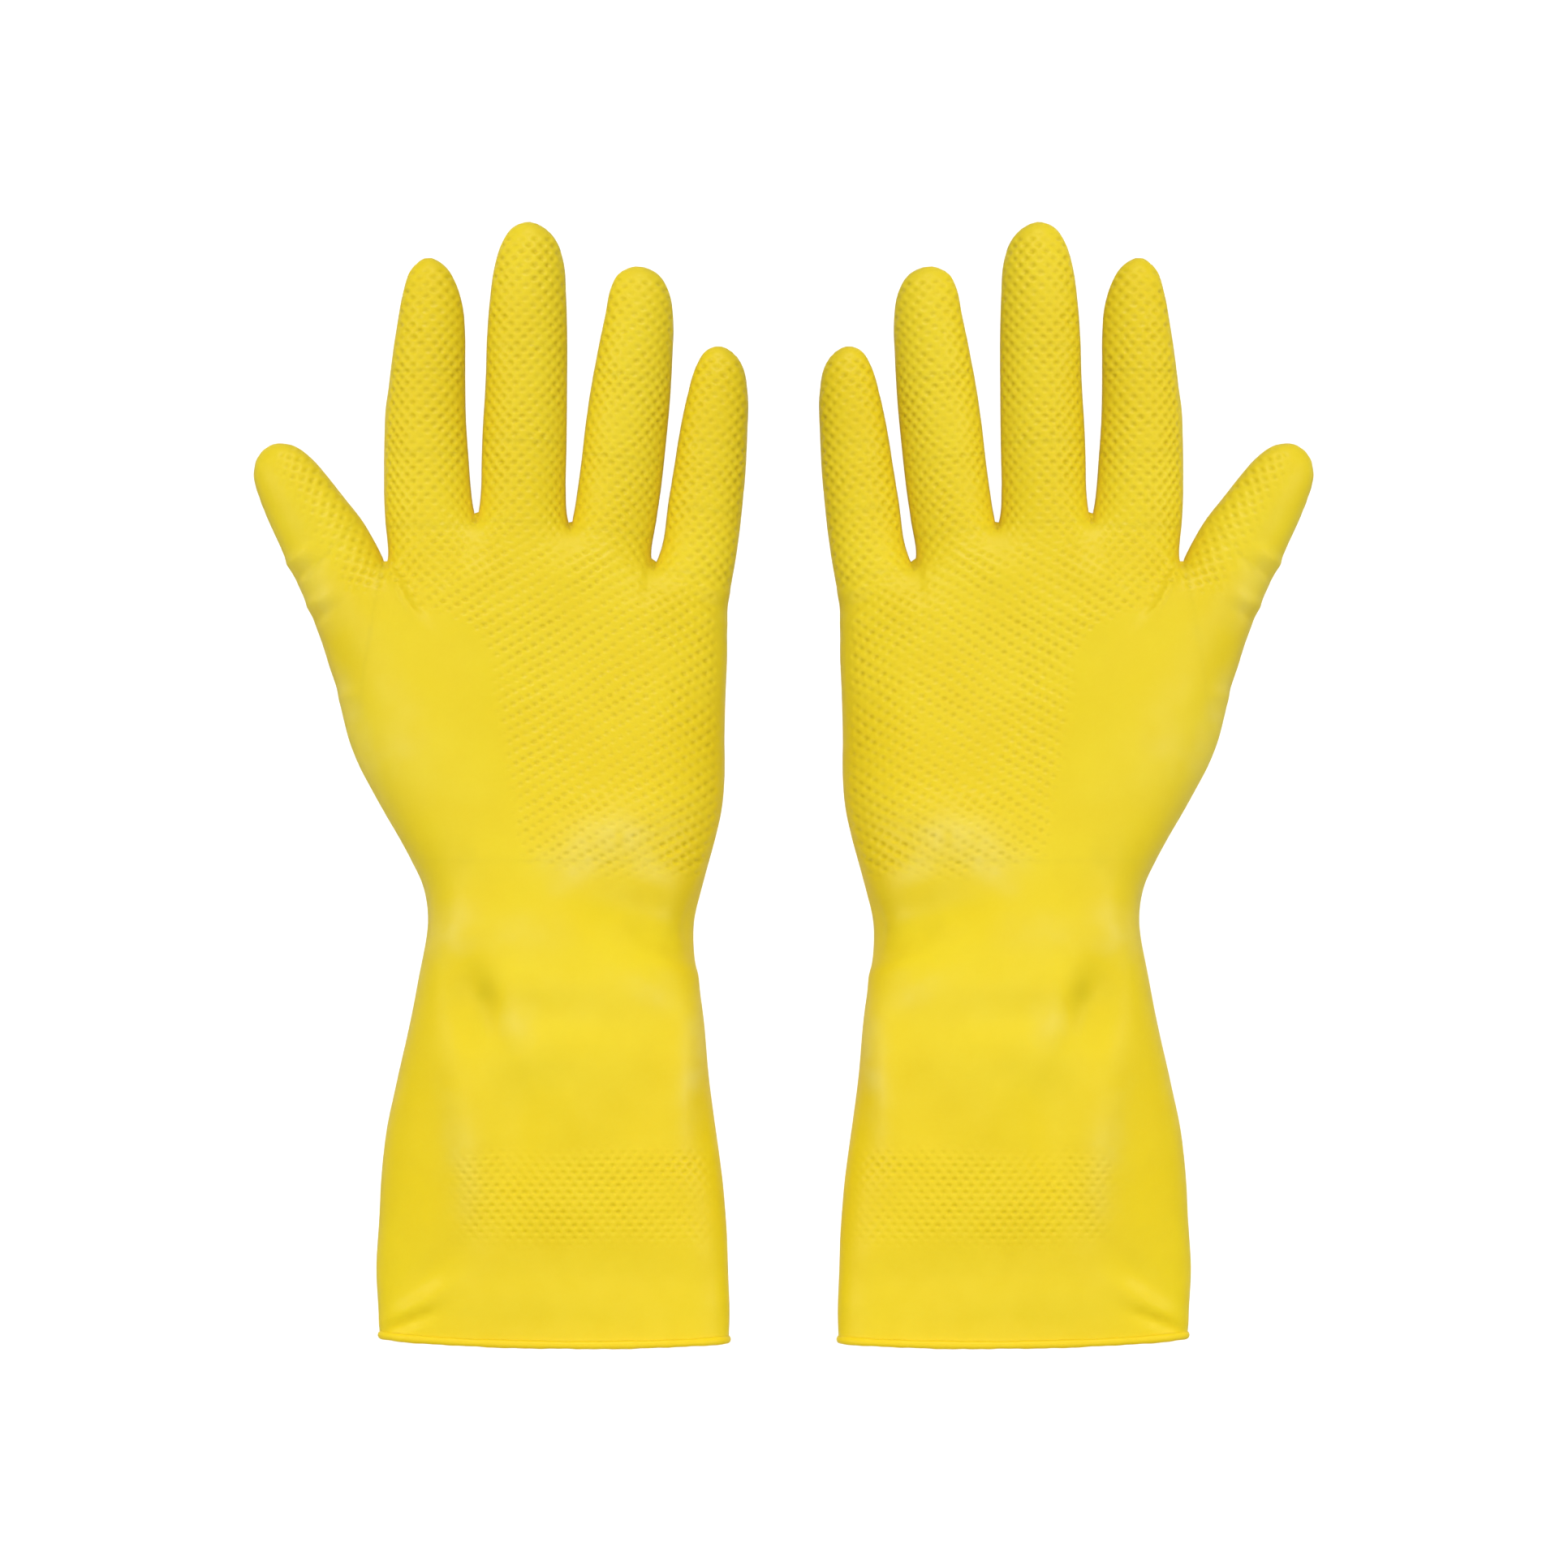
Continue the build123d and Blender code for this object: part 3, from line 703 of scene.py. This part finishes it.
def zone_of(c):
    """Name of the piece each plan point belongs to."""
    x, y = c[:, 0], c[:, 1]
    name = np.full(len(c), "palm", dtype=object)
    name[y < WRIST_Y + 18.0 + 1.0] = "gauntlet"
    q = np.stack([x, y], 1)
    cross = ((x - CREASE_B[0]) * (CREASE_A[1] - CREASE_B[1]) - (y - CREASE_B[1]) * (CREASE_A[0] - CREASE_B[0]))
    thumb = (q @ FOLD_N > FOLD_START - 0.4) & (cross < 0.0) & (y > -10)
    name[thumb] = "thumb_base"
    name[thumb & (q @ TIP_N > TIP_START - 0.4)] = "thumb_tip"
    order = list(FINGERS)
    past = []                # past[k]: beyond the line running out of web k, on the little finger's side
    for k, web in enumerate(WEBS):
        d = finger_axis(order[k])[1] + finger_axis(order[k + 1])[1]
        past.append(along(x, y, np.array(web), d / np.linalg.norm(d))[1] > 0)
    for k, f in enumerate(order):
        root, d, length, j = finger_axis(f)
        s, lat = along(x, y, root, d)
        m = (s > j[0] - BEND - 1.0) & (np.abs(lat) < 14.0) & (name != "thumb_base") & (name != "thumb_tip")
        if k > 0:
            m = m & past[k - 1]
        if k < len(WEBS):
            m = m & ~past[k]
        name[m & (s <= (j[0] + j[1]) / 2)] = f + "_knuckle"
        name[m & (s > (j[0] + j[1]) / 2) & (s <= (j[1] + j[2]) / 2)] = f + "_middle"
        name[m & (s > (j[1] + j[2]) / 2)] = f + "_tip"
    return name


def build_left():
    """Everything of the left glove as arrays, in millimetres."""
    skin = Skin()
    p, tris = surface_net(skin, COARSE)
    for _ in range(2):
        p = skin.project(p, 3)
        p = relax(p, tris, 2)
    p = skin.project(p, 5)
    # open the cuff
    c = p[tris].mean(1)
    tris = tris[rim_cut(c[:, 0], c[:, 1]) > 0]
    used = np.unique(tris)
    remap = -np.ones(len(p), np.int64)
    remap[used] = np.arange(len(used))
    p, tris = p[used], remap[tris]
    uniq, te = edge_table(tris)
    count = np.bincount(te.ravel(), minlength=len(uniq))
    lip = np.unique(uniq[count == 1])
    p[lip, 1] = rim_y(p[lip, 0])
    zone = zone_of(p[tris].mean(1))
    n = skin.gradient(p)
    n = -n / np.linalg.norm(n, axis=1)[:, None]
    # grip region is refined
    cx = p[tris].mean(1)
    _, share, _ = grip(cx[:, 0], cx[:, 1], n[tris].mean(1)[:, 2])
    fine_p, fine_t, parent, edges = refine(p, tris, share > 0.03)
    fresh = fine_p[len(p):]
    fine_p[len(p):] = skin.project(fresh, 3)
    fine_n = skin.gradient(fine_p)
    fine_n = -fine_n / np.linalg.norm(fine_n, axis=1)[:, None]
    lift = relief(fine_p[:, 0], fine_p[:, 1]) * smooth(-0.25, 0.4, fine_n[:, 2])
    g, share, hole = grip(fine_p[:, 0], fine_p[:, 1], fine_n[:, 2])
    rest = fine_p.copy()
    smooth_p = fine_p + fine_n * lift[:, None]
    outer = smooth_p + fine_n * g[:, None]
    normals = vertex_normals(outer, fine_t)
    coarse_n = vertex_normals(smooth_p[:len(p)], tris)
    # share holds the pits' depth, the mask for painted shade and dirt in the pits
    return dict(skin=skin, p=smooth_p[:len(p)], n=coarse_n, tris=tris, zone=zone, outer=outer, outer_n=normals, rest=rest,
                fine=fine_t, parent=parent, edges=edges, share=hole)


def loops_of(edges):
    """Ordered closed loops from directed boundary edges."""
    nxt = {int(a): int(b) for a, b in edges}
    seen, loops = set(), []
    for a in nxt:
        if a in seen:
            continue
        loop, k = [], a
        while k not in seen:
            seen.add(k)
            loop.append(k)
            k = nxt[k]
        loops.append(loop)
    return loops


def border(tris):
    """Directed edges that belong to one triangle only."""
    e = np.concatenate([tris[:, [0, 1]], tris[:, [1, 2]], tris[:, [2, 0]]])
    key = np.sort(e, 1)
    _, inv, cnt = np.unique(key, axis=0, return_inverse=True, return_counts=True)
    return e[cnt[inv.ravel()] == 1]


def skin_piece(glove, name):
    """Closed piece of skin: fine outside, plain inside, joined along its cut edges."""
    mask = glove["zone"] == name
    coarse = glove["tris"][mask]
    fine = glove["fine"][mask[glove["parent"]]]
    uniq, hot, first = glove["edges"]
    lut = {(int(a), int(b)): k for k, (a, b) in enumerate(uniq)}
    n_out = len(glove["outer"])
    inner_p = glove["p"] - glove["n"] * WALL
    walls = []
    for a, b in border(coarse):
        a, b = int(a), int(b)
        k = lut[(min(a, b), max(a, b))]
        mid = []
        if hot[k]:
            mid = [int(first[k]) + 1, int(first[k])] if a < b else [int(first[k]), int(first[k]) + 1]
        walls.append([b] + mid + [a, n_out + a, n_out + b])
    verts = np.concatenate([glove["outer"], inner_p])
    rest = np.concatenate([glove["rest"], glove["rest"][:len(inner_p)]])
    normal = np.concatenate([glove["outer_n"], -glove["n"]])
    share = np.concatenate([glove["share"], np.zeros(len(inner_p))])
    inner_t = coarse[:, ::-1] + n_out
    return pack_piece(verts, [fine, inner_t], walls, rest, normal, share, [0, 1], 0)


def pack_piece(verts, tri_sets, walls, rest, normal, share, slots, wall_slot):
    used = np.unique(np.concatenate([t.ravel() for t in tri_sets] + [np.array(sum(walls, []), np.int64)]))
    remap = np.zeros(len(verts), np.int64)
    remap[used] = np.arange(len(used))
    return dict(verts=verts[used], tris=[remap[t] for t in tri_sets], walls=[[int(remap[k]) for k in w] for w in walls],
                rest=rest[used], normal=normal[used], share=share[used], slots=slots, wall_slot=wall_slot)


def shell_piece(glove, mask, near, far):
    """Closed liner between two depths under the smooth skin."""
    coarse = glove["tris"][mask]
    n = len(glove["p"])
    fuzz = 0.05 * noise2(glove["rest"][:n, 0], glove["rest"][:n, 1], 2.2, 77)
    a = glove["p"] - glove["n"] * near
    b = glove["p"] - glove["n"] * (far + fuzz)[:, None]
    walls = [[int(q), int(p), int(p) + n, int(q) + n] for p, q in border(coarse)]
    verts = np.concatenate([a, b])
    rest = np.concatenate([glove["rest"][:n]] * 2)
    normal = np.concatenate([glove["n"], -glove["n"]])
    return pack_piece(verts, [coarse, coarse[:, ::-1] + n], walls, rest, normal, np.zeros(2 * n), [0, 0], 0)


def rim_piece(glove):
    """Rolled rim: a band swept along the mouth of the cuff."""
    edges = border(glove["tris"])
    loop = max(loops_of(edges), key=len)
    p = glove["outer"][loop]
    for _ in range(6):
        p = 0.5 * p + 0.25 * (np.roll(p, 1, 0) + np.roll(p, -1, 0))
    seg = np.linalg.norm(np.roll(p, -1, 0) - p, axis=1)
    t = np.concatenate([[0], np.cumsum(seg)])
    q = np.linspace(0, t[-1], 401)[:-1]
    closed = np.concatenate([p, p[:1]])
    path = np.stack([np.interp(q, t, closed[:, k]) for k in range(3)], 1)
    n = glove["skin"].gradient(path)
    n = -n / np.linalg.norm(n, axis=1)[:, None]
    for _ in range(10):
        n = (n + np.roll(n, 1, 0) + np.roll(n, -1, 0))
        n /= np.linalg.norm(n, axis=1)[:, None]
    tangent = np.roll(path, -1, 0) - np.roll(path, 1, 0)
    tangent /= np.linalg.norm(tangent, axis=1)[:, None]
    n = n - tangent * (n * tangent).sum(1)[:, None]
    n /= np.linalg.norm(n, axis=1)[:, None]
    down = np.cross(tangent, n)
    down *= np.sign((down * np.array((0, -1.0, 0))).sum(1))[:, None]
    ang = np.linspace(0, 2 * np.pi, 15)[:-1]
    k = np.arange(len(path)) / len(path)
    wob = 1 + 0.05 * np.sin(2 * np.pi * 7 * k + 1.0) + 0.04 * np.sin(2 * np.pi * 17 * k) + 0.03 * np.sin(2 * np.pi * 41 * k + 2)
    centre = path - n * (WALL / 2) + n * 0.22
    ring = centre[:, None] + (n[:, None] * (0.95 * wob)[:, None, None] * np.cos(ang)[None, :, None]
                              + down[:, None] * (1.12 * wob)[:, None, None] * np.sin(ang)[None, :, None])
    ring[..., 2] = np.maximum(ring[..., 2], 0.02)
    m, w = len(path), len(ang)
    i, j = np.meshgrid(np.arange(m), np.arange(w), indexing="ij")
    a, b = (i * w + j).ravel(), (i * w + (j + 1) % w).ravel()
    c, d = (((i + 1) % m) * w + (j + 1) % w).ravel(), (((i + 1) % m) * w + j).ravel()
    verts = ring.reshape(-1, 3)
    tris = np.concatenate([np.stack([a, b, c], 1), np.stack([a, c, d], 1)])
    nn = vertex_normals(verts, tris)
    if (nn.reshape(m, w, 3)[:, 0] * n).sum() < 0:
        tris = tris[:, ::-1]
        nn = -nn
    return dict(verts=verts, tris=[tris], walls=[], rest=verts.copy(), normal=nn, share=np.zeros(len(verts)), slots=[0], wall_slot=0)


# ================================================================== BLENDER
def mesh_object(name, piece, side, materials):
    """Mesh object in metres; side -1 mirrors the left glove to the right."""
    v = piece["verts"] * MM
    n = piece["normal"].copy()
    tris = np.concatenate(piece["tris"])
    walls = piece["walls"]
    if side < 0:
        v, n = v * (-1, 1, 1), n * (-1, 1, 1)
        tris = tris[:, ::-1]
        walls = [w[::-1] for w in walls]
    sizes = np.concatenate([np.full(len(tris), 3), np.array([len(w) for w in walls], np.int64)]).astype(np.int32)
    loops = np.concatenate([tris.ravel(), np.array(sum(walls, []), np.int64)]).astype(np.int32)
    slots = np.concatenate([np.full(len(t), s) for t, s in zip(piece["tris"], piece["slots"])]
                           + [np.full(len(walls), piece["wall_slot"])]).astype(np.int32)
    me = bpy.data.meshes.new(name)
    me.vertices.add(len(v))
    me.vertices.foreach_set("co", v.astype(np.float32).ravel())
    me.loops.add(len(loops))
    me.loops.foreach_set("vertex_index", loops)
    me.polygons.add(len(sizes))
    me.polygons.foreach_set("loop_start", (np.cumsum(sizes) - sizes).astype(np.int32))
    me.polygons.foreach_set("material_index", slots)
    me.update(calc_edges=True)
    me.validate(clean_customdata=False)
    me.polygons.foreach_set("use_smooth", np.ones(len(me.polygons), bool))
    at = me.attributes.new("rest_co", "FLOAT_VECTOR", "POINT")
    at.data.foreach_set("vector", piece["rest"].astype(np.float32).ravel())
    # painted highlights and painted shade, carried per vertex into the latex colour
    at = me.attributes.new("painted_highlight_shade", "FLOAT", "POINT")
    at.data.foreach_set("value", painted_highlight_shade(piece["rest"][:, 0], piece["rest"][:, 1]).astype(np.float32))
    # depth of the grip's pits: darkens the latex as painted shade, partly dirt
    at = me.attributes.new("grip_pit_shade_and_dirt", "FLOAT", "POINT")
    at.data.foreach_set("value", piece["share"].astype(np.float32))
    me.normals_split_custom_set_from_vertices(n.astype(np.float32))
    for m in materials:
        me.materials.append(m)
    ob = bpy.data.objects.new(name, me)
    bpy.context.scene.collection.objects.link(ob)
    return ob


def nodes_of(mat):
    mat.use_nodes = True
    nt = mat.node_tree
    nt.nodes.clear()
    out = nt.nodes.new("ShaderNodeOutputMaterial")
    bsdf = nt.nodes.new("ShaderNodeBsdfPrincipled")
    nt.links.new(bsdf.outputs[0], out.inputs["Surface"])
    return nt, bsdf


def noise_node(nt, vec, scale, detail=2.0, rough=0.5):
    n = nt.nodes.new("ShaderNodeTexNoise")
    n.inputs["Scale"].default_value = scale
    n.inputs["Detail"].default_value = detail
    n.inputs["Roughness"].default_value = rough
    nt.links.new(vec, n.inputs["Vector"])
    return n.outputs["Fac"]


def ramp(nt, fac, lo, hi, a, b):
    r = nt.nodes.new("ShaderNodeMapRange")
    r.inputs["From Min"].default_value, r.inputs["From Max"].default_value = lo, hi
    r.inputs["To Min"].default_value, r.inputs["To Max"].default_value = a, b
    nt.links.new(fac, r.inputs["Value"])
    return r.outputs["Result"]


def mix_colour(nt, fac, a, b, mode="MIX"):
    m = nt.nodes.new("ShaderNodeMix")
    m.data_type = "RGBA"
    m.blend_type = mode
    for value, sock in ((fac, m.inputs[0]), (a, m.inputs[6]), (b, m.inputs[7])):
        if isinstance(value, (float, int)):
            sock.default_value = value
        elif isinstance(value, tuple):
            sock.default_value = (*value, 1.0)
        else:
            nt.links.new(value, sock)
    return m.outputs[2]


def latex_material():
    mat = bpy.data.materials.new("latex")
    nt, bsdf = nodes_of(mat)
    rest = nt.nodes.new("ShaderNodeAttribute")
    rest.attribute_name = "rest_co"
    vec = rest.outputs["Vector"]
    big = noise_node(nt, vec, 0.022, 2.0)
    mid = noise_node(nt, vec, 0.11, 3.0)
    fine = noise_node(nt, vec, 1.1, 3.0, 0.6)
    micro = noise_node(nt, vec, 3.2, 2.0, 0.6)
    split = nt.nodes.new("ShaderNodeSeparateXYZ")
    nt.links.new(vec, split.inputs[0])
    painted_arm_end_light = ramp(nt, split.outputs["Y"], -10.0, -95.0, 0.0, 1.0)     # painted light: the colour grows lighter towards the arm end, standing in for the cuff catching more light
    deep = mix_colour(nt, painted_arm_end_light, (0.80, 0.585, 0.010), (0.86, 0.615, 0.006))
    pale = mix_colour(nt, painted_arm_end_light, (0.84, 0.635, 0.018), (0.89, 0.650, 0.010))
    col = mix_colour(nt, ramp(nt, big, 0.36, 0.64, 0.0, 1.0), deep, pale)
    col = mix_colour(nt, ramp(nt, mid, 0.4, 0.75, 0.0, 0.22), col, (0.77, 0.545, 0.005))
    col = mix_colour(nt, ramp(nt, fine, 0.45, 0.7, 0.0, 0.08), col, (0.89, 0.70, 0.05))
    painted_light_node = nt.nodes.new("ShaderNodeAttribute")
    painted_light_node.attribute_name = "painted_highlight_shade"
    # painted highlight where the patches are plus, painted shade where they are minus
    col = mix_colour(nt, ramp(nt, painted_light_node.outputs["Fac"], 0.0, 1.0, 0.0, 0.75), col, (0.86, 0.68, 0.115))
    col = mix_colour(nt, ramp(nt, painted_light_node.outputs["Fac"], 0.0, -1.0, 0.0, 0.60), col, (0.66, 0.51, 0.008))
    # painted shade, partly dirt: the latex darkens in the grip's pits
    pit_shade_and_dirt = nt.nodes.new("ShaderNodeAttribute")
    pit_shade_and_dirt.attribute_name = "grip_pit_shade_and_dirt"
    col = mix_colour(nt, ramp(nt, pit_shade_and_dirt.outputs["Fac"], 0.25, 1.0, 0.0, 0.34), col, (0.60, 0.43, 0.004))
    nt.links.new(col, bsdf.inputs["Base Color"])
    nt.links.new(ramp(nt, mid, 0.3, 0.7, 0.40, 0.52), bsdf.inputs["Roughness"])
    bsdf.inputs["Specular IOR Level"].default_value = 0.22
    bsdf.inputs["Subsurface Weight"].default_value = 0.22
    bsdf.inputs["Subsurface Radius"].default_value = (1.0, 0.75, 0.16)
    bsdf.inputs["Subsurface Scale"].default_value = 0.0022
    bsdf.inputs["Sheen Weight"].default_value = 0.03
    bsdf.inputs["Sheen Roughness"].default_value = 0.5
    b1 = nt.nodes.new("ShaderNodeBump")
    b1.inputs["Strength"].default_value = 0.10
    b1.inputs["Distance"].default_value = 0.0003
    nt.links.new(fine, b1.inputs["Height"])
    b2 = nt.nodes.new("ShaderNodeBump")
    b2.inputs["Strength"].default_value = 0.08
    b2.inputs["Distance"].default_value = 0.0001
    nt.links.new(micro, b2.inputs["Height"])
    nt.links.new(b1.outputs[0], b2.inputs["Normal"])
    nt.links.new(b2.outputs[0], bsdf.inputs["Normal"])
    return mat


def flock_material():
    mat = bpy.data.materials.new("flock_lining")
    nt, bsdf = nodes_of(mat)
    rest = nt.nodes.new("ShaderNodeAttribute")
    rest.attribute_name = "rest_co"
    vec = rest.outputs["Vector"]
    clump = noise_node(nt, vec, 0.35, 4.0, 0.6)
    fibre = noise_node(nt, vec, 4.5, 3.0, 0.7)
    col = mix_colour(nt, ramp(nt, clump, 0.35, 0.7, 0.0, 1.0), (0.86, 0.74, 0.36), (0.92, 0.85, 0.60))
    col = mix_colour(nt, ramp(nt, fibre, 0.4, 0.7, 0.0, 0.35), col, (0.97, 0.94, 0.82))
    nt.links.new(col, bsdf.inputs["Base Color"])
    bsdf.inputs["Roughness"].default_value = 0.95
    bsdf.inputs["Specular IOR Level"].default_value = 0.15
    bsdf.inputs["Sheen Weight"].default_value = 0.5
    bsdf.inputs["Sheen Roughness"].default_value = 0.4
    b = nt.nodes.new("ShaderNodeBump")
    b.inputs["Strength"].default_value = 0.5
    b.inputs["Distance"].default_value = 0.0003
    nt.links.new(fibre, b.inputs["Height"])
    nt.links.new(b.outputs[0], bsdf.inputs["Normal"])
    return mat


LEFT = build_left()
LATEX, FLOCK = latex_material(), flock_material()
CENTRE_Y = LEFT["p"][LEFT["tris"]].mean(1)
KINDS = {}
for kind in ["palm", "gauntlet", "thumb_base", "thumb_tip"] + [f + z for f in FINGERS for z in ("_knuckle", "_middle", "_tip")]:
    KINDS[kind] = skin_piece(LEFT, kind)
RIM = rim_piece(LEFT)
zone = LEFT["zone"]
cx, cy = CENTRE_Y[:, 0], CENTRE_Y[:, 1]
ARM_LINER = shell_piece(LEFT, (zone == "gauntlet") & (rim_cut(cx, cy) > 6.5), WALL + BOND, WALL + BOND + LINING)
HAND_LINER = shell_piece(LEFT, zone == "palm", WALL + BOND, WALL + BOND + LINING)

PIECES = {"left": [], "right": []}
for label, side in (("left", 1), ("right", -1)):
    b = lambda n: f"{label}_{n}"

    def add(name, piece, mats, slot_name, *replaced):
        ob = mesh_object(b(name), piece, side, mats)
        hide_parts(*[b(r) for r in replaced])
        PIECES[label].append(ob)
        return ob

    ob = add("palm_skin", KINDS["palm"], [LATEX, FLOCK], "latex", "palm")
    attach(ob, b("palm"))
    ob = add("gauntlet_skin", KINDS["gauntlet"], [LATEX, LATEX], "latex", "gauntlet")
    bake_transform(ob)
    ob = add("thumb_base_skin", KINDS["thumb_base"], [LATEX, FLOCK], "latex", "thumb_base")
    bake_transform(ob)
    ob = add("thumb_tip_skin", KINDS["thumb_tip"], [LATEX, FLOCK], "latex", "thumb_tip")
    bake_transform(ob)
    for f in FINGERS:
        root, d, length, j = finger_axis(f)
        chain = ["palm", f + "_proximal", f + "_middle", f + "_tip"]
        for k, z in enumerate(("_knuckle", "_middle", "_tip")):
            ob = add(f + z + "_skin", KINDS[f + z], [LATEX, FLOCK], "latex", chain[k + 1])
            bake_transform(ob)
    ob = add("cuff_rim", RIM, [LATEX], "latex", "cuff_bead")
    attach(ob, b("gauntlet"))
    ob = add("gauntlet_flock", ARM_LINER, [FLOCK], "flock_lining", "gauntlet_lining")
    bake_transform(ob)
    ob = add("palm_flock", HAND_LINER, [FLOCK], "flock_lining", "palm_lining")
    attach(ob, b("palm"))

# ------------------------------------------------------------------ stage, camera, light
def plane(name, z, grey):
    me = bpy.data.meshes.new(name)
    me.from_pydata([(-3, -3, 0), (3, -3, 0), (3, 3, 0), (-3, 3, 0)], [], [(0, 1, 2, 3)])
    ob = bpy.data.objects.new(name, me)
    bpy.context.scene.collection.objects.link(ob)
    ob.location.z = z
    mat = bpy.data.materials.new(name + "_paper")
    _, shader = nodes_of(mat)
    shader.inputs["Base Color"].default_value = (grey, grey, grey, 1)
    shader.inputs["Roughness"].default_value = 0.9
    shader.inputs["Specular IOR Level"].default_value = 0.1
    me.materials.append(mat)
    return ob


# the white paper as the camera sees it, and the same paper as it throws light back on the gloves
floor = plane("floor", -0.0002, 0.9)
floor.visible_diffuse = False
floor.visible_glossy = False
glow = plane("floor_glow", -0.0006, 0.9)
glow.visible_camera = False

cam = bpy.data.cameras.new("camera")
cam.sensor_width = 36.0
DIST = 2.2
cam.lens = 36.0 * (DIST - 0.009) / 0.4255
cam.clip_end = 20.0
camera = bpy.data.objects.new("camera", cam)
camera.location = (0.0001, 0.0, DIST)
bpy.context.scene.collection.objects.link(camera)
bpy.context.scene.camera = camera

world = bpy.data.worlds.new("studio")
bpy.context.scene.world = world
world.use_nodes = True
wt = world.node_tree
bg = wt.nodes["Background"]
bg.inputs["Color"].default_value = (1.0, 1.0, 1.0, 1)
direction = wt.nodes.new("ShaderNodeTexCoord")
split = wt.nodes.new("ShaderNodeSeparateXYZ")
wt.links.new(direction.outputs["Generated"], split.inputs[0])
wt.links.new(ramp(wt, split.outputs["Z"], -0.10, 0.25, 0.06, 0.24), bg.inputs["Strength"])


def area(name, loc, aim, size, power, only, blockers=None):
    la = bpy.data.lights.new(name, "AREA")
    la.shape = "RECTANGLE"
    la.size, la.size_y = size
    la.energy = power
    ob = bpy.data.objects.new(name, la)
    ob.location = loc
    ob.rotation_euler = (Vector(aim) - Vector(loc)).to_track_quat("-Z", "Y").to_euler()
    bpy.context.scene.collection.objects.link(ob)
    lit = bpy.data.collections.new(name + "_lit")
    for o in only:
        lit.objects.link(o)
    ob.light_linking.receiver_collection = lit
    if blockers is not None:
        stop = bpy.data.collections.new(name + "_stop")
        for o in blockers:
            stop.objects.link(o)
        ob.light_linking.blocker_collection = stop
    return ob


BOTH = PIECES["left"] + PIECES["right"] + [glow]
area("key_left", (-1.8, 0.5, 1.8), (-0.06, 0.0, 0.0), (0.7, 0.7), 18.0, PIECES["left"])
area("key_right", (1.8, 0.5, 1.8), (0.06, 0.0, 0.0), (0.7, 0.7), 18.0, PIECES["right"])
area("head_key", (0.0, 2.0, 1.7), (0.0, -0.02, 0.0), (0.9, 0.35), 30.0, BOTH)
area("top", (0.0, -0.55, 1.8), (0.0, -0.08, 0.0), (1.4, 1.2), 11.9, BOTH)
area("glow_light", (0.0, 0.0, 1.5), (0.0, 0.0, 0.0), (2.2, 2.2), 22.0, [glow])
area("paper_light", (0.0, 0.0, 1.9), (0.0, 0.0, 0.0), (1.6, 1.6), 48.0, [floor], [floor])


def spot(name, loc, aim, angle, radius, power, only):
    la = bpy.data.lights.new(name, "SPOT")
    la.spot_size = math.radians(angle)
    la.spot_blend = 1.0
    la.shadow_soft_size = radius
    la.energy = power
    ob = bpy.data.objects.new(name, la)
    ob.location = loc
    ob.rotation_euler = (Vector(aim) - Vector(loc)).to_track_quat("-Z", "Y").to_euler()
    bpy.context.scene.collection.objects.link(ob)
    lit = bpy.data.collections.new(name + "_lit")
    for o in only:
        lit.objects.link(o)
    ob.light_linking.receiver_collection = lit


# soft fill from between the gloves towards the inner sides of hand and cuff
spot("side_fill_left", (0.50, -0.25, 0.50), (-0.03, -0.075, 0.0), 30.0, 0.10, 6.0, PIECES["left"])
spot("side_fill_right", (-0.50, -0.25, 0.50), (0.03, -0.075, 0.0), 30.0, 0.10, 6.0, PIECES["right"])

bpy.context.scene.view_settings.view_transform = "Standard"
bpy.context.scene.view_settings.look = "None"
